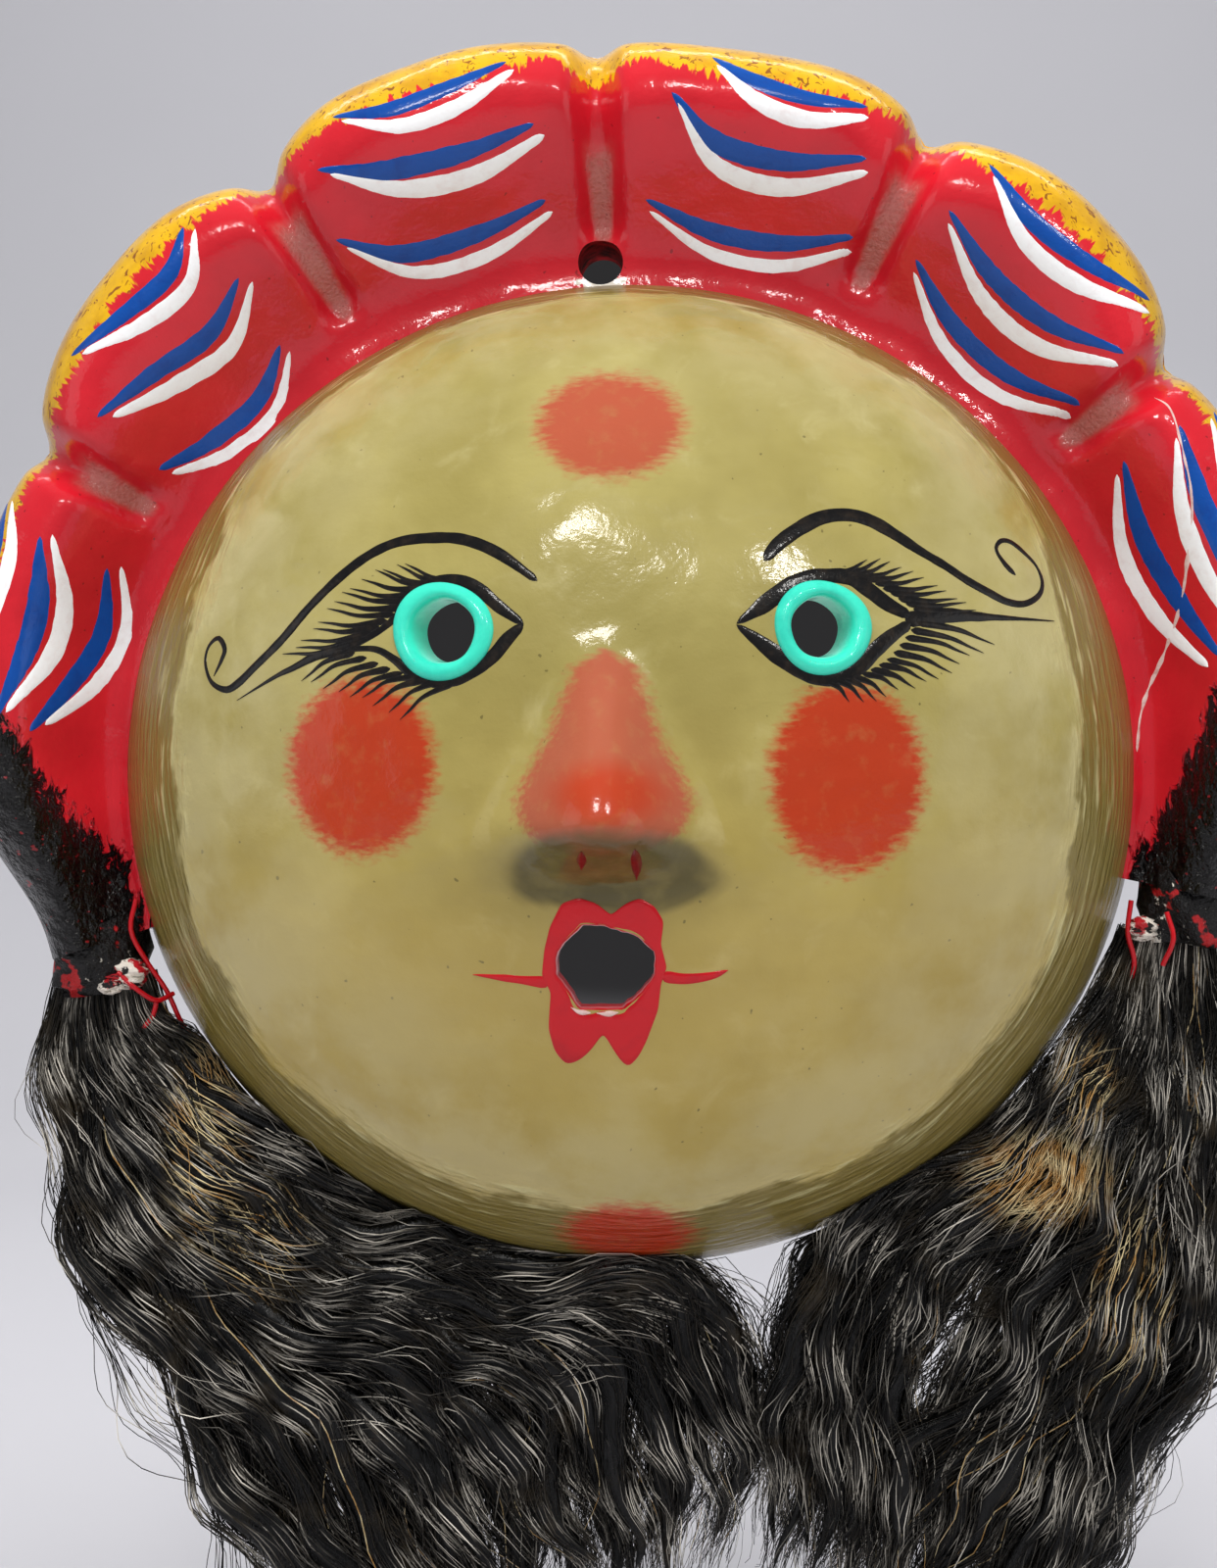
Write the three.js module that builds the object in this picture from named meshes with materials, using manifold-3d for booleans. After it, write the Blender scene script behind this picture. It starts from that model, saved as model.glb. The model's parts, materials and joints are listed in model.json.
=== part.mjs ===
// A painted folk art mask with a round domed face, a scalloped headdress and long fibre hair.
// Millimetres. +X is to the viewer's right, +Z is up, and the face looks along -Y.
// The origin is the middle of the hanging hole, on the plane of the wall that the mask hangs on.
import * as THREE from "three";
import { mergeVertices } from "three/addons/utils/BufferGeometryUtils.js";
import Module from "manifold-3d";

const wasm = await Module();
wasm.setup();

// ---- Driving dimensions ----------------------------------------------------------------

const GAP = 0.35; // left between pieces that touch
const DEG = Math.PI / 180;

// The face: a dome on an ellipse. Places on it are (x, z) from its centre, and a depth is
// the distance in front of the wall.
const FACE = { x: 5, z: -97.5, halfWidth: 99, halfHeight: 96, depth: 62, wall: 6 };
const DOME_POWER = 2.4; // over 2 makes the front flatter and the sides steeper
const FACE_SEGMENTS = 60;
const FACE_RINGS = 10;

const EYES = [
  { side: "left", x: -30.5, z: 25, tilt: -18 },
  { side: "right", x: 34.5, z: 25.5, tilt: 18 },
];
const EYE_RING = { bore: 5.6, sleeve: 6.5, crest: 7.4, outer: 9.2, height: 1.5, length: 6 };
const EYE_HOLE_RADIUS = 6.9;

const MOUTH = { x: -2.5, z: -33.5 };
// The mouth is whittled with a knife, so it has straight cuts: a hand-cut outline round its middle.
const MOUTH_OUTLINE = [
  [-8.5, 2.7], [-4, 7.2], [5, 5.5], [8.5, 2.8], [8.5, -1.3], [3, -7.2], [-4.5, -7.3], [-8.5, -1.4],
];

const NOSE = { x: -3, low: -21, high: 21, halfWidth: 16, bridgeHalfWidth: 5, height: 17 };
const NOSE_EDGE = 0.6; // thickness of paste at the edge of the nose

const HANGING_HOLE_RADIUS = 4.3;

// The headdress, in angles counter-clockwise from +X round the centre of the face.
const CROWN = {
  from: -12,
  to: 198,
  grooves: [37, 64.5, 92.5, 121.5, 151],
  radius: 142.5,
  droop: 22, // how much nearer the centre the rim is at the two ends
  endRadius: 117,
  scallop: 7,
  valley: 16,
  crest: 33,
  endCrest: 24,
  roll: 14, // width of the rolled rim
  edge: 10, // depth at which the rim is widest
  chamfer: 3, // between the rim and the flat back
};
const GROOVE = { depth: 6, halfWidth: 3, stopsShort: 7 };
const HORN_LENGTH = 16; // degrees over which each end narrows

// The hair. Each lock is a ribbon between two edges, from its root to its tips, in (x, z)
// from the centre of the face.
const LOCKS = [
  {
    side: "left",
    pivot: -53.5,
    horn: CROWN.to,
    outer: [[-112.5, -53.5], [-110, -68], [-107, -87], [-97, -102], [-88, -118], [-76, -135], [-66, -155], [-50, -188]],
    inner: [[-92.5, -53.5], [-85, -60], [-71, -73], [-46, -89], [-15, -98], [8, -101], [21, -120], [20, -156]],
    ends: { outer: 1, middle: 0.97, chin: 0.93 },
  },
  {
    side: "right",
    pivot: -41.5,
    horn: CROWN.from,
    outer: [[117, -41.5], [119, -62], [115, -84], [109, -104], [102, -121], [92, -140], [79, -162], [58, -190]],
    inner: [[97, -41.5], [89, -53], [79, -63], [64, -78], [49, -92], [39, -104], [31, -124], [26, -152]],
    ends: { outer: 1, middle: 0.97, chin: 0.95 },
  },
];
const TRESS_SHARES = { outer: [0, 0.36], middle: [0.36, 0.68], chin: [0.68, 1] };
const HAIR = { depth: 13, rootHalf: 6, bellyHalf: 9.5, tipHalf: 2.5, forward: 3.5 };
const HAIR_RINGS = 14;
const HAIR_SIDES = 10;

// What holds each lock: a root stub in a socket of paste, tied below it.
const ROOT = { halfWidth: 7, halfDepth: 5, aboveBody: 0.5 };
const SOCKET = { halfWidth: 9.5, halfDepth: 8.5, chamfer: 1 };
const BINDING = { halfWidth: 8.5, halfDepth: 6.6, height: 3.2, chamfer: 0.8 };
const ROUND_SIDES = 20;

// ---- Shapes ----------------------------------------------------------------------------

const lerp = THREE.MathUtils.lerp;
const smooth = (x, low, high) => THREE.MathUtils.smoothstep(x, low, high);

// A point of the mask from its place round the face's centre and its depth.
function place(x, z, depth) {
  return new THREE.Vector3(FACE.x + x, -depth, FACE.z + z);
}

// How far out the face's rim is at an angle, and how deep the dome is at a place.
function rimRadius(angle) {
  return 1 / Math.hypot(Math.cos(angle) / FACE.halfWidth, Math.sin(angle) / FACE.halfHeight);
}

function domeDepth(x, z) {
  const out = Math.min(1, Math.hypot(x / FACE.halfWidth, z / FACE.halfHeight));
  return FACE.depth * Math.sqrt(1 - out ** DOME_POWER);
}

// The radius of the dome's flank at an angle and a depth.
function flankRadius(angle, depth) {
  return rimRadius(angle) * (1 - (depth / FACE.depth) ** 2) ** (1 / DOME_POWER);
}

// Geometry from points and triangles, turned the right way out.
function outward(points, triangles) {
  let volume = 0;
  const cross = new THREE.Vector3();
  for (const [a, b, c] of triangles) {
    volume += points[a].dot(cross.crossVectors(points[b], points[c]));
  }
  const faces = volume < 0 ? triangles.map(([a, b, c]) => [a, c, b]) : triangles;
  const geometry = new THREE.BufferGeometry().setFromPoints(points);
  geometry.setIndex(faces.flat());
  return geometry;
}

// A solid through rings of points, with its two ends closed, or joined to each other.
function loft(rings, joined = false) {
  const count = rings[0].length;
  const points = rings.flat();
  const triangles = [];
  const spans = joined ? rings.length : rings.length - 1;
  for (let i = 0; i < spans; i += 1) {
    const here = i * count;
    const next = ((i + 1) % rings.length) * count;
    for (let j = 0; j < count; j += 1) {
      const k = (j + 1) % count;
      triangles.push([here + j, here + k, next + k], [here + j, next + k, next + j]);
    }
  }
  if (!joined) {
    for (const [ring, first, flip] of [[rings[0], 0, true], [rings.at(-1), spans * count, false]]) {
      const middle = new THREE.Vector3();
      ring.forEach((p) => middle.addScaledVector(p, 1 / count));
      points.push(middle);
      for (let j = 0; j < count; j += 1) {
        const [a, b] = [first + j, first + ((j + 1) % count)];
        triangles.push(flip ? [points.length - 1, b, a] : [points.length - 1, a, b]);
      }
    }
  }
  return outward(points, triangles);
}

// An ellipse of points about (x, z) at the hair's depth, level or rising towards +X.
function ellipseRing(x, z, halfWidth, halfDepth, slope = 0) {
  return Array.from({ length: ROUND_SIDES }, (_, i) => {
    const turn = (2 * Math.PI * i) / ROUND_SIDES;
    const across = halfWidth * Math.cos(turn);
    return place(x + across, z + slope * across, HAIR.depth + halfDepth * Math.sin(turn));
  });
}

function toSolid(geometry) {
  const bare = new THREE.BufferGeometry();
  bare.setAttribute("position", geometry.getAttribute("position"));
  bare.setIndex(geometry.index);
  const merged = mergeVertices(bare, 1e-3);
  return new wasm.Manifold(
    new wasm.Mesh({
      numProp: 3,
      vertProperties: new Float32Array(merged.attributes.position.array),
      triVerts: new Uint32Array(merged.index.array),
    }),
  );
}

function toGeometry(solid) {
  const mesh = solid.getMesh();
  const geometry = new THREE.BufferGeometry();
  geometry.setAttribute("position", new THREE.BufferAttribute(mesh.vertProperties, 3));
  geometry.setIndex(new THREE.BufferAttribute(mesh.triVerts, 1));
  return geometry;
}

function cut(geometry, ...tools) {
  return toGeometry(tools.reduce((body, tool) => body.subtract(toSolid(tool)), toSolid(geometry)));
}

// The direction an eye hole looks along.
function eyeAxis(eye) {
  return new THREE.Vector3(Math.sin(eye.tilt * DEG), -Math.cos(eye.tilt * DEG), 0);
}

// ---- The shell -------------------------------------------------------------------------

// A hollow dome with a flat rim, made by turning its section and stretching it to the ellipse.
function faceShell() {
  const radius = FACE.halfWidth;
  const section = (r, depth, steps) =>
    Array.from({ length: steps + 1 }, (_, i) => {
      const turn = (i / steps) * (Math.PI / 2);
      const out = Math.cos(turn) ** (2 / DOME_POWER);
      return new THREE.Vector2(i === steps ? 0 : r * out, depth * Math.sin(turn));
    });
  const inside = section(radius - FACE.wall, FACE.depth - FACE.wall, FACE_RINGS).reverse();
  const dome = new THREE.LatheGeometry([...inside, ...section(radius, FACE.depth, FACE_RINGS)], FACE_SEGMENTS);
  dome.rotateX(Math.PI);
  dome.scale(1, 1, FACE.halfHeight / FACE.halfWidth);
  dome.translate(FACE.x, 0, FACE.z);
  return cut(dome, ...EYES.map(eyeHole), mouthHole(), hangingHole());
}

function eyeHole(eye) {
  const hole = new THREE.CylinderGeometry(EYE_HOLE_RADIUS, EYE_HOLE_RADIUS, 60, 28);
  hole.applyQuaternion(
    new THREE.Quaternion().setFromUnitVectors(new THREE.Vector3(0, 1, 0), eyeAxis(eye)),
  );
  const middle = place(eye.x, eye.z, domeDepth(eye.x, eye.z));
  return hole.translate(middle.x, middle.y, middle.z);
}

function mouthHole() {
  const outline = new THREE.Shape(MOUTH_OUTLINE.map(([x, z]) => new THREE.Vector2(x, z)));
  const hole = new THREE.ExtrudeGeometry(outline, { depth: 2 * FACE.depth, bevelEnabled: false });
  hole.rotateX(Math.PI / 2);
  const middle = place(MOUTH.x, MOUTH.z, 0);
  return hole.translate(middle.x, middle.y, middle.z);
}

// Drilled straight back where the headdress meets the face, so it nicks the face's rim.
function hangingHole() {
  return new THREE.CylinderGeometry(HANGING_HOLE_RADIUS, HANGING_HOLE_RADIUS, 120, 28);
}

// A wedge of paste on the dome: a low bridge that widens and rises to a tip over the nostrils.
function nose() {
  const columns = 18;
  const rows = 20;
  const sheet = (extra) =>
    Array.from({ length: rows + 1 }, (_, i) => {
      const up = i / rows;
      const half = lerp(NOSE.halfWidth, NOSE.bridgeHalfWidth, smooth(up, 0, 1));
      return Array.from({ length: columns + 1 }, (_unused, j) => {
        const across = (2 * j) / columns - 1;
        const x = NOSE.x + half * across;
        const z = lerp(NOSE.low, NOSE.high, up);
        return place(x, z, domeDepth(x, z) + GAP + extra * noseHeight(across, up));
      });
    });
  const under = sheet(0);
  const over = sheet(1);
  return loft(over.map((row, i) => [...row, ...under[i].slice().reverse()]));
}

function noseHeight(across, up) {
  const ridge = NOSE.height * smooth(up, 0, 0.3) * (1 - smooth(up, 0.25, 1.05));
  return NOSE_EDGE + ridge * (1 - across ** 2) ** 1.3;
}

// A raised rim on the dome round an eye hole, with a sleeve that lines the hole.
function eyeRing(eye) {
  const axis = eyeAxis(eye);
  const steps = 28;
  const bed = GAP + 0.1;
  const profile = [
    [EYE_RING.bore, EYE_RING.length, 0],
    [EYE_RING.bore, 0, 0.9],
    [EYE_RING.crest - 0.9, 0, EYE_RING.height],
    [EYE_RING.crest + 0.5, 0, EYE_RING.height],
    [EYE_RING.outer, 0, bed + 0.3],
    [EYE_RING.outer - 0.2, 0, bed],
    [EYE_RING.sleeve, 0, bed],
    [EYE_RING.sleeve, EYE_RING.length, 0],
  ];
  const rings = Array.from({ length: steps }, (_, i) => {
    const turn = (2 * Math.PI * i) / steps;
    return profile.map(([out, down, lift]) => {
      const x = eye.x + out * Math.cos(turn);
      const z = eye.z + out * Math.sin(turn);
      return place(x, z, domeDepth(x, z)).addScaledVector(axis, lift - down);
    });
  });
  return loft(rings, true);
}

// ---- The headdress ---------------------------------------------------------------------

// How near an angle is to a groove, from 0 to 1, and how far it is across its lobe.
function grooveAt(degrees) {
  const away = Math.min(...CROWN.grooves.map((g) => Math.abs(g - degrees)));
  const across = (away * DEG * CROWN.radius) / GROOVE.halfWidth;
  return Math.exp(-(across ** 2));
}

function lobeAt(degrees) {
  const stops = [CROWN.from - 8, ...CROWN.grooves, CROWN.to + 8];
  const i = stops.findIndex((stop, n) => n > 0 && degrees <= stop);
  const share = (degrees - stops[i - 1]) / (stops[i] - stops[i - 1]);
  return 1 - Math.abs(2 * share - 1) ** 3;
}

// 0 along the headdress, rising to 1 at the tip of each horn.
function hornAt(degrees) {
  const fromEnd = Math.min(degrees - CROWN.from, CROWN.to - degrees);
  return 1 - smooth(fromEnd, 0, HORN_LENGTH);
}

function crownRadius(degrees) {
  const middle = (CROWN.from + CROWN.to) / 2;
  const share = Math.abs(degrees - middle) / ((CROWN.to - CROWN.from) / 2);
  const rim = CROWN.radius - CROWN.droop * share ** 2 - CROWN.scallop * (1 - lobeAt(degrees));
  return lerp(rim, CROWN.endRadius, hornAt(degrees));
}

// The headdress's section at an angle: a valley beside the face, a puffed lobe, a rolled rim
// and a flat back, narrowing into a horn at each end.
function crownSection(degrees) {
  const angle = degrees * DEG;
  const horn = hornAt(degrees);
  const rim = crownRadius(degrees);
  const roll = lerp(CROWN.roll, 8, horn);
  const top = lerp(CROWN.crest - 3 + 3 * lobeAt(degrees), CROWN.endCrest, horn);
  const beside = (depth) => flankRadius(angle, depth) + GAP + 0.2;
  const start = beside(CROWN.valley);
  const crestRadius = rim - roll;
  const groove = grooveAt(degrees) * GROOVE.depth * (1 - horn);
  const front = (r) => {
    const depth = lerp(CROWN.valley, top, smooth(r, start + 3, crestRadius));
    const over = Math.max(0, (r - crestRadius) / roll);
    const rolled = CROWN.edge + (depth - CROWN.edge) * Math.sqrt(Math.max(0, 1 - over ** 2));
    const pressed = groove * smooth(r, start + GROOVE.stopsShort, start + GROOVE.stopsShort + 6);
    return Math.max(CROWN.edge, rolled - pressed);
  };
  const outside = [0, 0.12, 0.28, 0.44, 0.6, 0.72, 0.84, 0.93, 1].map((share) => {
    const r = lerp(start, rim, share);
    return [r, front(r)];
  });
  const back = [[rim - 0.5, CROWN.chamfer], [rim - CROWN.chamfer, 0]];
  const inside = [0, 4, 8, 12].map((depth) => [beside(depth), depth]);
  return [...outside, ...back, ...inside].map(([r, depth]) =>
    place(r * Math.cos(angle), r * Math.sin(angle), depth),
  );
}

// Angles close together beside the grooves and at the horns, and wider apart on the lobes.
function crownAngles() {
  const stops = [CROWN.from, ...CROWN.grooves, CROWN.to];
  const shares = [0, 0.05, 0.1, 0.18, 0.33, 0.5, 0.67, 0.82, 0.9, 0.95];
  const endShares = Array.from({ length: 16 }, (_, i) => i / 16);
  const angles = stops.slice(0, -1).flatMap((stop, i) => {
    const isEnd = i === 0 || i === stops.length - 2;
    return (isEnd ? endShares : shares).map((share) => lerp(stop, stops[i + 1], share));
  });
  return [...angles, CROWN.to];
}

function headdress() {
  return cut(loft(crownAngles().map(crownSection)), hangingHole());
}

// ---- The hair --------------------------------------------------------------------------

function edgeCurve(points) {
  return new THREE.CatmullRomCurve3(points.map(([x, z]) => new THREE.Vector3(x, 0, z)));
}

// One tress: a share of its lock's width, flat and tapering, with a round top about the pivot.
function tress(lock, name) {
  const [low, high] = TRESS_SHARES[name];
  const end = lock.ends[name];
  const outer = edgeCurve(lock.outer);
  const inner = edgeCurve(lock.inner);
  const between = (along, share) => outer.getPoint(along).lerp(inner.getPoint(along), share);
  const ring = (along, half, raised, narrow) => {
    const depth = HAIR.depth + HAIR.forward * smooth(along, 0, 0.5) * (1 - smooth(along, 0.6, 1));
    const inset = 0.012 + narrow;
    const a = between(along, low + inset);
    const b = between(along, high - inset);
    return Array.from({ length: HAIR_SIDES }, (_, i) => {
      const turn = (2 * Math.PI * i) / HAIR_SIDES;
      const bulge = Math.sign(Math.cos(turn)) * Math.abs(Math.cos(turn)) ** 0.7;
      const p = a.clone().lerp(b, 0.5 + 0.5 * bulge);
      return place(p.x, p.z + raised, depth + half * Math.sin(turn));
    });
  };
  const cap = [80, 60, 30].map((degrees) =>
    ring(0, HAIR.rootHalf * Math.cos(degrees * DEG), HAIR.rootHalf * Math.sin(degrees * DEG), 0.02),
  );
  const body = Array.from({ length: HAIR_RINGS + 1 }, (_, i) => {
    const share = i / HAIR_RINGS;
    const belly = lerp(HAIR.rootHalf, HAIR.bellyHalf, smooth(share, 0, 0.4));
    const half = lerp(belly, HAIR.tipHalf, smooth(share, 0.6, 1));
    return ring(share * end, half, 0, 0.09 * smooth(share, 0.75, 1));
  });
  return loft([...cap, ...body]);
}

// The middle of a lock's root, and the slope and height there of the end of its horn.
function rootOf(lock) {
  const x = (lock.outer[0][0] + lock.inner[0][0]) / 2;
  const slope = Math.tan(lock.horn * DEG);
  return { x, slope, top: slope * x - 1.5 * GAP };
}

function hairRoot(lock) {
  const { x, slope, top } = rootOf(lock);
  const { halfWidth, halfDepth, aboveBody } = ROOT;
  return loft([
    ellipseRing(x, top, halfWidth, halfDepth, slope),
    ellipseRing(x, lock.pivot + HAIR.rootHalf + aboveBody, halfWidth, halfDepth),
  ]);
}

// A collar that the root passes through, from a top that may slope to a level foot.
function collar(x, top, foot, size, slope = 0) {
  const [inWide, inDeep] = [ROOT.halfWidth + GAP, ROOT.halfDepth + GAP];
  const { halfWidth, halfDepth, chamfer } = size;
  const rings = [
    ellipseRing(x, top, halfWidth - chamfer, halfDepth - chamfer, slope),
    ellipseRing(x, (top + foot) / 2, halfWidth, halfDepth, slope / 2),
    ellipseRing(x, foot, halfWidth - chamfer, halfDepth - chamfer),
    ellipseRing(x, foot, inWide, inDeep),
    ellipseRing(x, top, inWide, inDeep, slope),
  ];
  return loft(rings, true);
}

// The binding sits just above the tresses, and the socket fills from there up to the horn.
function bindingTop(lock) {
  return lock.pivot + HAIR.rootHalf + ROOT.aboveBody + BINDING.height;
}

function hairBinding(lock) {
  const top = bindingTop(lock);
  return collar(rootOf(lock).x, top, top - BINDING.height, BINDING);
}

function hairSocket(lock) {
  const { x, slope, top } = rootOf(lock);
  return collar(x, top, bindingTop(lock) + GAP, SOCKET, slope);
}

// ---- Assembly --------------------------------------------------------------------------

const PAINT = { roughness: 0.25, metalness: 0 };
const MATERIALS = {
  olive: new THREE.MeshStandardMaterial({ color: 0xada35f, ...PAINT }),
  red: new THREE.MeshStandardMaterial({ color: 0xc4202a, ...PAINT }),
  rouge: new THREE.MeshStandardMaterial({ color: 0xb5532f, ...PAINT }),
  turquoise: new THREE.MeshStandardMaterial({ color: 0x55dcc0, ...PAINT }),
  blackPaint: new THREE.MeshStandardMaterial({ color: 0x1c191b, ...PAINT }),
  fibre: new THREE.MeshStandardMaterial({ color: 0x1d1b18, roughness: 0.45, metalness: 0 }),
  thread: new THREE.MeshStandardMaterial({ color: 0xd9cdb4, roughness: 0.8, metalness: 0 }),
};

const mask = new THREE.Group();

function add(name, geometry, material) {
  const mesh = new THREE.Mesh(geometry, material);
  mesh.name = name;
  mask.add(mesh);
}

add("face_shell", faceShell(), MATERIALS.olive);
add("nose", nose(), MATERIALS.rouge);
add("headdress", headdress(), MATERIALS.red);
for (const eye of EYES) {
  add(`eye_ring_${eye.side}`, eyeRing(eye), MATERIALS.turquoise);
}
for (const lock of LOCKS) {
  add(`hair_socket_${lock.side}`, hairSocket(lock), MATERIALS.blackPaint);
  add(`hair_binding_${lock.side}`, hairBinding(lock), MATERIALS.thread);
  add(`hair_root_${lock.side}`, hairRoot(lock), MATERIALS.fibre);
  for (const name of Object.keys(TRESS_SHARES)) {
    add(`${name}_tress_${lock.side}`, tress(lock, name), MATERIALS.fibre);
  }
}

export default mask;
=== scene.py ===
"""Looks of a painted folk art mask: a varnished round face, a scalloped headdress and fibre hair.

Sizes are in millimetres, except where a name says otherwise. A place on the mask is (x, z) from
the middle of the face, with a depth in front of the wall; place() turns it into the row's metres.
"""

import json
import math

import bmesh
import bpy
import numpy as np
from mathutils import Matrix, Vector


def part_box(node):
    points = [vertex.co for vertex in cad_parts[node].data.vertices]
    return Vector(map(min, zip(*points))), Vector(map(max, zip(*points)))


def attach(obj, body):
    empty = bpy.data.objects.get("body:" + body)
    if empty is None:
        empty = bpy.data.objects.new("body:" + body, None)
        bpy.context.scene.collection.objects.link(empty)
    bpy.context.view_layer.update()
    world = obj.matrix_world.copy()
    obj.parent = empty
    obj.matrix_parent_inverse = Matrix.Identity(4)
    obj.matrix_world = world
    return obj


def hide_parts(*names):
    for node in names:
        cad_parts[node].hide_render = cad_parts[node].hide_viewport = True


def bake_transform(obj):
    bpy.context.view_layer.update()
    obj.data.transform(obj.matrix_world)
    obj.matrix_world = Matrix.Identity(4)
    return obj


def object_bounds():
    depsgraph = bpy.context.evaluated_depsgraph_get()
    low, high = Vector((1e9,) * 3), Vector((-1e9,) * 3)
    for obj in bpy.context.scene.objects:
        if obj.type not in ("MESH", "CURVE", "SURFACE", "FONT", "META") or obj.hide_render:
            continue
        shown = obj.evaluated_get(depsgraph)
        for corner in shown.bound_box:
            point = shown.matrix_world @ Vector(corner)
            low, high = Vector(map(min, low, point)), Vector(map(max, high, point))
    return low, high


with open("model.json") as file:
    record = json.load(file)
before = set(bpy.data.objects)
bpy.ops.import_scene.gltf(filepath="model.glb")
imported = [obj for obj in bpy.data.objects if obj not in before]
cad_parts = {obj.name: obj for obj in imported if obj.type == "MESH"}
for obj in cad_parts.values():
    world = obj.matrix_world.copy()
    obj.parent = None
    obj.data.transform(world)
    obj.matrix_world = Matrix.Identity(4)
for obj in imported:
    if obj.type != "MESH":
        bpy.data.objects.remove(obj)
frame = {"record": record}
cad_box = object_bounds()
MM = 0.001
DEG = math.pi / 180
TURN = 2 * math.pi
SIDES = ("left", "right")
rng = np.random.default_rng(11)

# ---- Where the frame says things are ---------------------------------------------------


def middle_and_half(node):
    """The middle and half-size of a node's box, in millimetres of the row frame."""
    low, high = (np.array(corner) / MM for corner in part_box(node))
    return (low + high) / 2, (high - low) / 2


(FACE_X, _, FACE_Z), (HALF_WIDTH, HALF_DEPTH, HALF_HEIGHT) = middle_and_half("face_shell")
DEPTH = 2 * HALF_DEPTH
EYE_DROP = 0.7  # how far the rings of paint have slumped below the middles of their holes
EYES = {}
for side in SIDES:
    middle, _ = middle_and_half(f"eye_ring_{side}")
    EYES[side] = np.array([middle[0] - FACE_X, middle[2] - FACE_Z - EYE_DROP])
PIVOTS = {
    joint["child"]: np.array(joint["pos_m"]) / MM
    for joint in frame["record"]["behaviour"]["joints"]
}
HOLE = np.array([-FACE_X, -FACE_Z])  # the hanging hole is at the row's origin
HOLE_RADIUS = 4.3


def place(x, z, depth):
    """Points in the row's metres, from places round the face's middle and depths."""
    x, z, depth = (np.asarray(values, float) for values in np.broadcast_arrays(x, z, depth))
    return np.stack([FACE_X + x, -depth, FACE_Z + z], axis=-1) * MM


# ---- Shared mathematics ----------------------------------------------------------------

RIPPLE_WAVES = 7
CURVE_STEPS = 24


def smooth(value, low, high):
    share = np.clip((value - low) / (high - low), 0, 1)
    return share * share * (3 - 2 * share)


def mix(a, b, share):
    return a + (b - a) * share


def hump(value, middle, width):
    """1 at the middle, falling off smoothly over a width to each side."""
    return np.exp(-(((value - middle) / width) ** 2))


def oval_away(x, z, middle_x, middle_z, half_x, half_z):
    """Distance from an oval's middle, as a share of its size."""
    return np.hypot((x - middle_x) / half_x, (z - middle_z) / half_z)


def ripple(u, v, size, seed):
    """A smooth hand-made unevenness from -1 to 1, with waves of about this size."""
    waves = np.random.default_rng(seed)
    total = 0
    for _ in range(RIPPLE_WAVES):
        turn = waves.uniform(0, TURN)
        length = size * waves.uniform(0.7, 1.8)
        phase = waves.uniform(0, TURN)
        total = total + np.sin((u * math.cos(turn) + v * math.sin(turn)) * TURN / length + phase)
    return total / (RIPPLE_WAVES / 2)


def path_length(points):
    """Distance along a path to each of its points, measured over the face's plane."""
    steps = np.hypot(*np.diff(points[:, :2], axis=0).T)
    return np.concatenate([[0], np.cumsum(steps)])


def curve_through(points, count):
    """Evenly spaced samples of a smooth curve through rows of numbers."""
    points = np.asarray(points, float)
    padded = np.vstack([2 * points[0] - points[1], points, 2 * points[-1] - points[-2]])
    spans = len(points) - 1
    samples = []
    for i in range(spans):
        t = np.linspace(0, 1, CURVE_STEPS, endpoint=i == spans - 1)[:, None]
        a, b, c, d = padded[i : i + 4]
        bend = (2 * a - 5 * b + 4 * c - d) * t**2 + (3 * b - a - 3 * c + d) * t**3
        samples.append(0.5 * (2 * b + (c - a) * t + bend))
    dense = np.vstack(samples)
    length = path_length(dense)
    wanted = np.linspace(0, length[-1], count)
    return np.stack([np.interp(wanted, length, column) for column in dense.T], axis=-1)


def around(outline, turn):
    """A straight-sided outline's radius at angles round its middle."""
    outline = np.array(outline)
    angles = np.arctan2(outline[:, 1], outline[:, 0]) % TURN
    order = np.argsort(angles)
    angles, radii = angles[order], np.hypot(*outline[order].T)
    after = np.searchsorted(angles, turn, side="right") % len(angles)
    gap = (angles[after] - angles[after - 1]) % TURN
    since = (turn - angles[after - 1]) % TURN
    near, far = np.sin(gap - since) / radii[after - 1], np.sin(since) / radii[after]
    return np.sin(gap) / (near + far)


def once_round(count):
    """Evenly spaced angles round a circle."""
    return np.linspace(0, TURN, count, endpoint=False)


# ---- Meshes ----------------------------------------------------------------------------


def link(name, data):
    made = bpy.data.objects.new(name, data)
    bpy.context.scene.collection.objects.link(made)
    return made


def new_mesh(name, points, quads, *materials):
    """An object from an array of points and an array of quads."""
    mesh = bpy.data.meshes.new(name)
    mesh.vertices.add(len(points))
    mesh.vertices.foreach_set("co", np.asarray(points, np.float32).ravel())
    mesh.loops.add(quads.size)
    mesh.loops.foreach_set("vertex_index", quads.astype(np.int32).ravel())
    mesh.polygons.add(len(quads))
    mesh.polygons.foreach_set("loop_start", np.arange(0, quads.size, 4, dtype=np.int32))
    mesh.update(calc_edges=True)
    mesh.validate()
    mesh.shade_smooth()
    for material in materials:
        mesh.materials.append(material)
    return link(name, mesh)


def sheet_quads(rows, columns, wrap_rows=False, wrap_columns=False):
    """Quads over a grid of points, with either direction joined round to its start."""
    i = np.arange(rows if wrap_rows else rows - 1)
    j = np.arange(columns if wrap_columns else columns - 1)
    a, b = (index.ravel() for index in np.meshgrid(i, j, indexing="ij"))
    a, after_a = a * columns, (a + 1) % rows * columns
    after_b = (b + 1) % columns
    return np.stack([a + b, a + after_b, after_a + after_b, after_a + b], axis=1)


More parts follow.
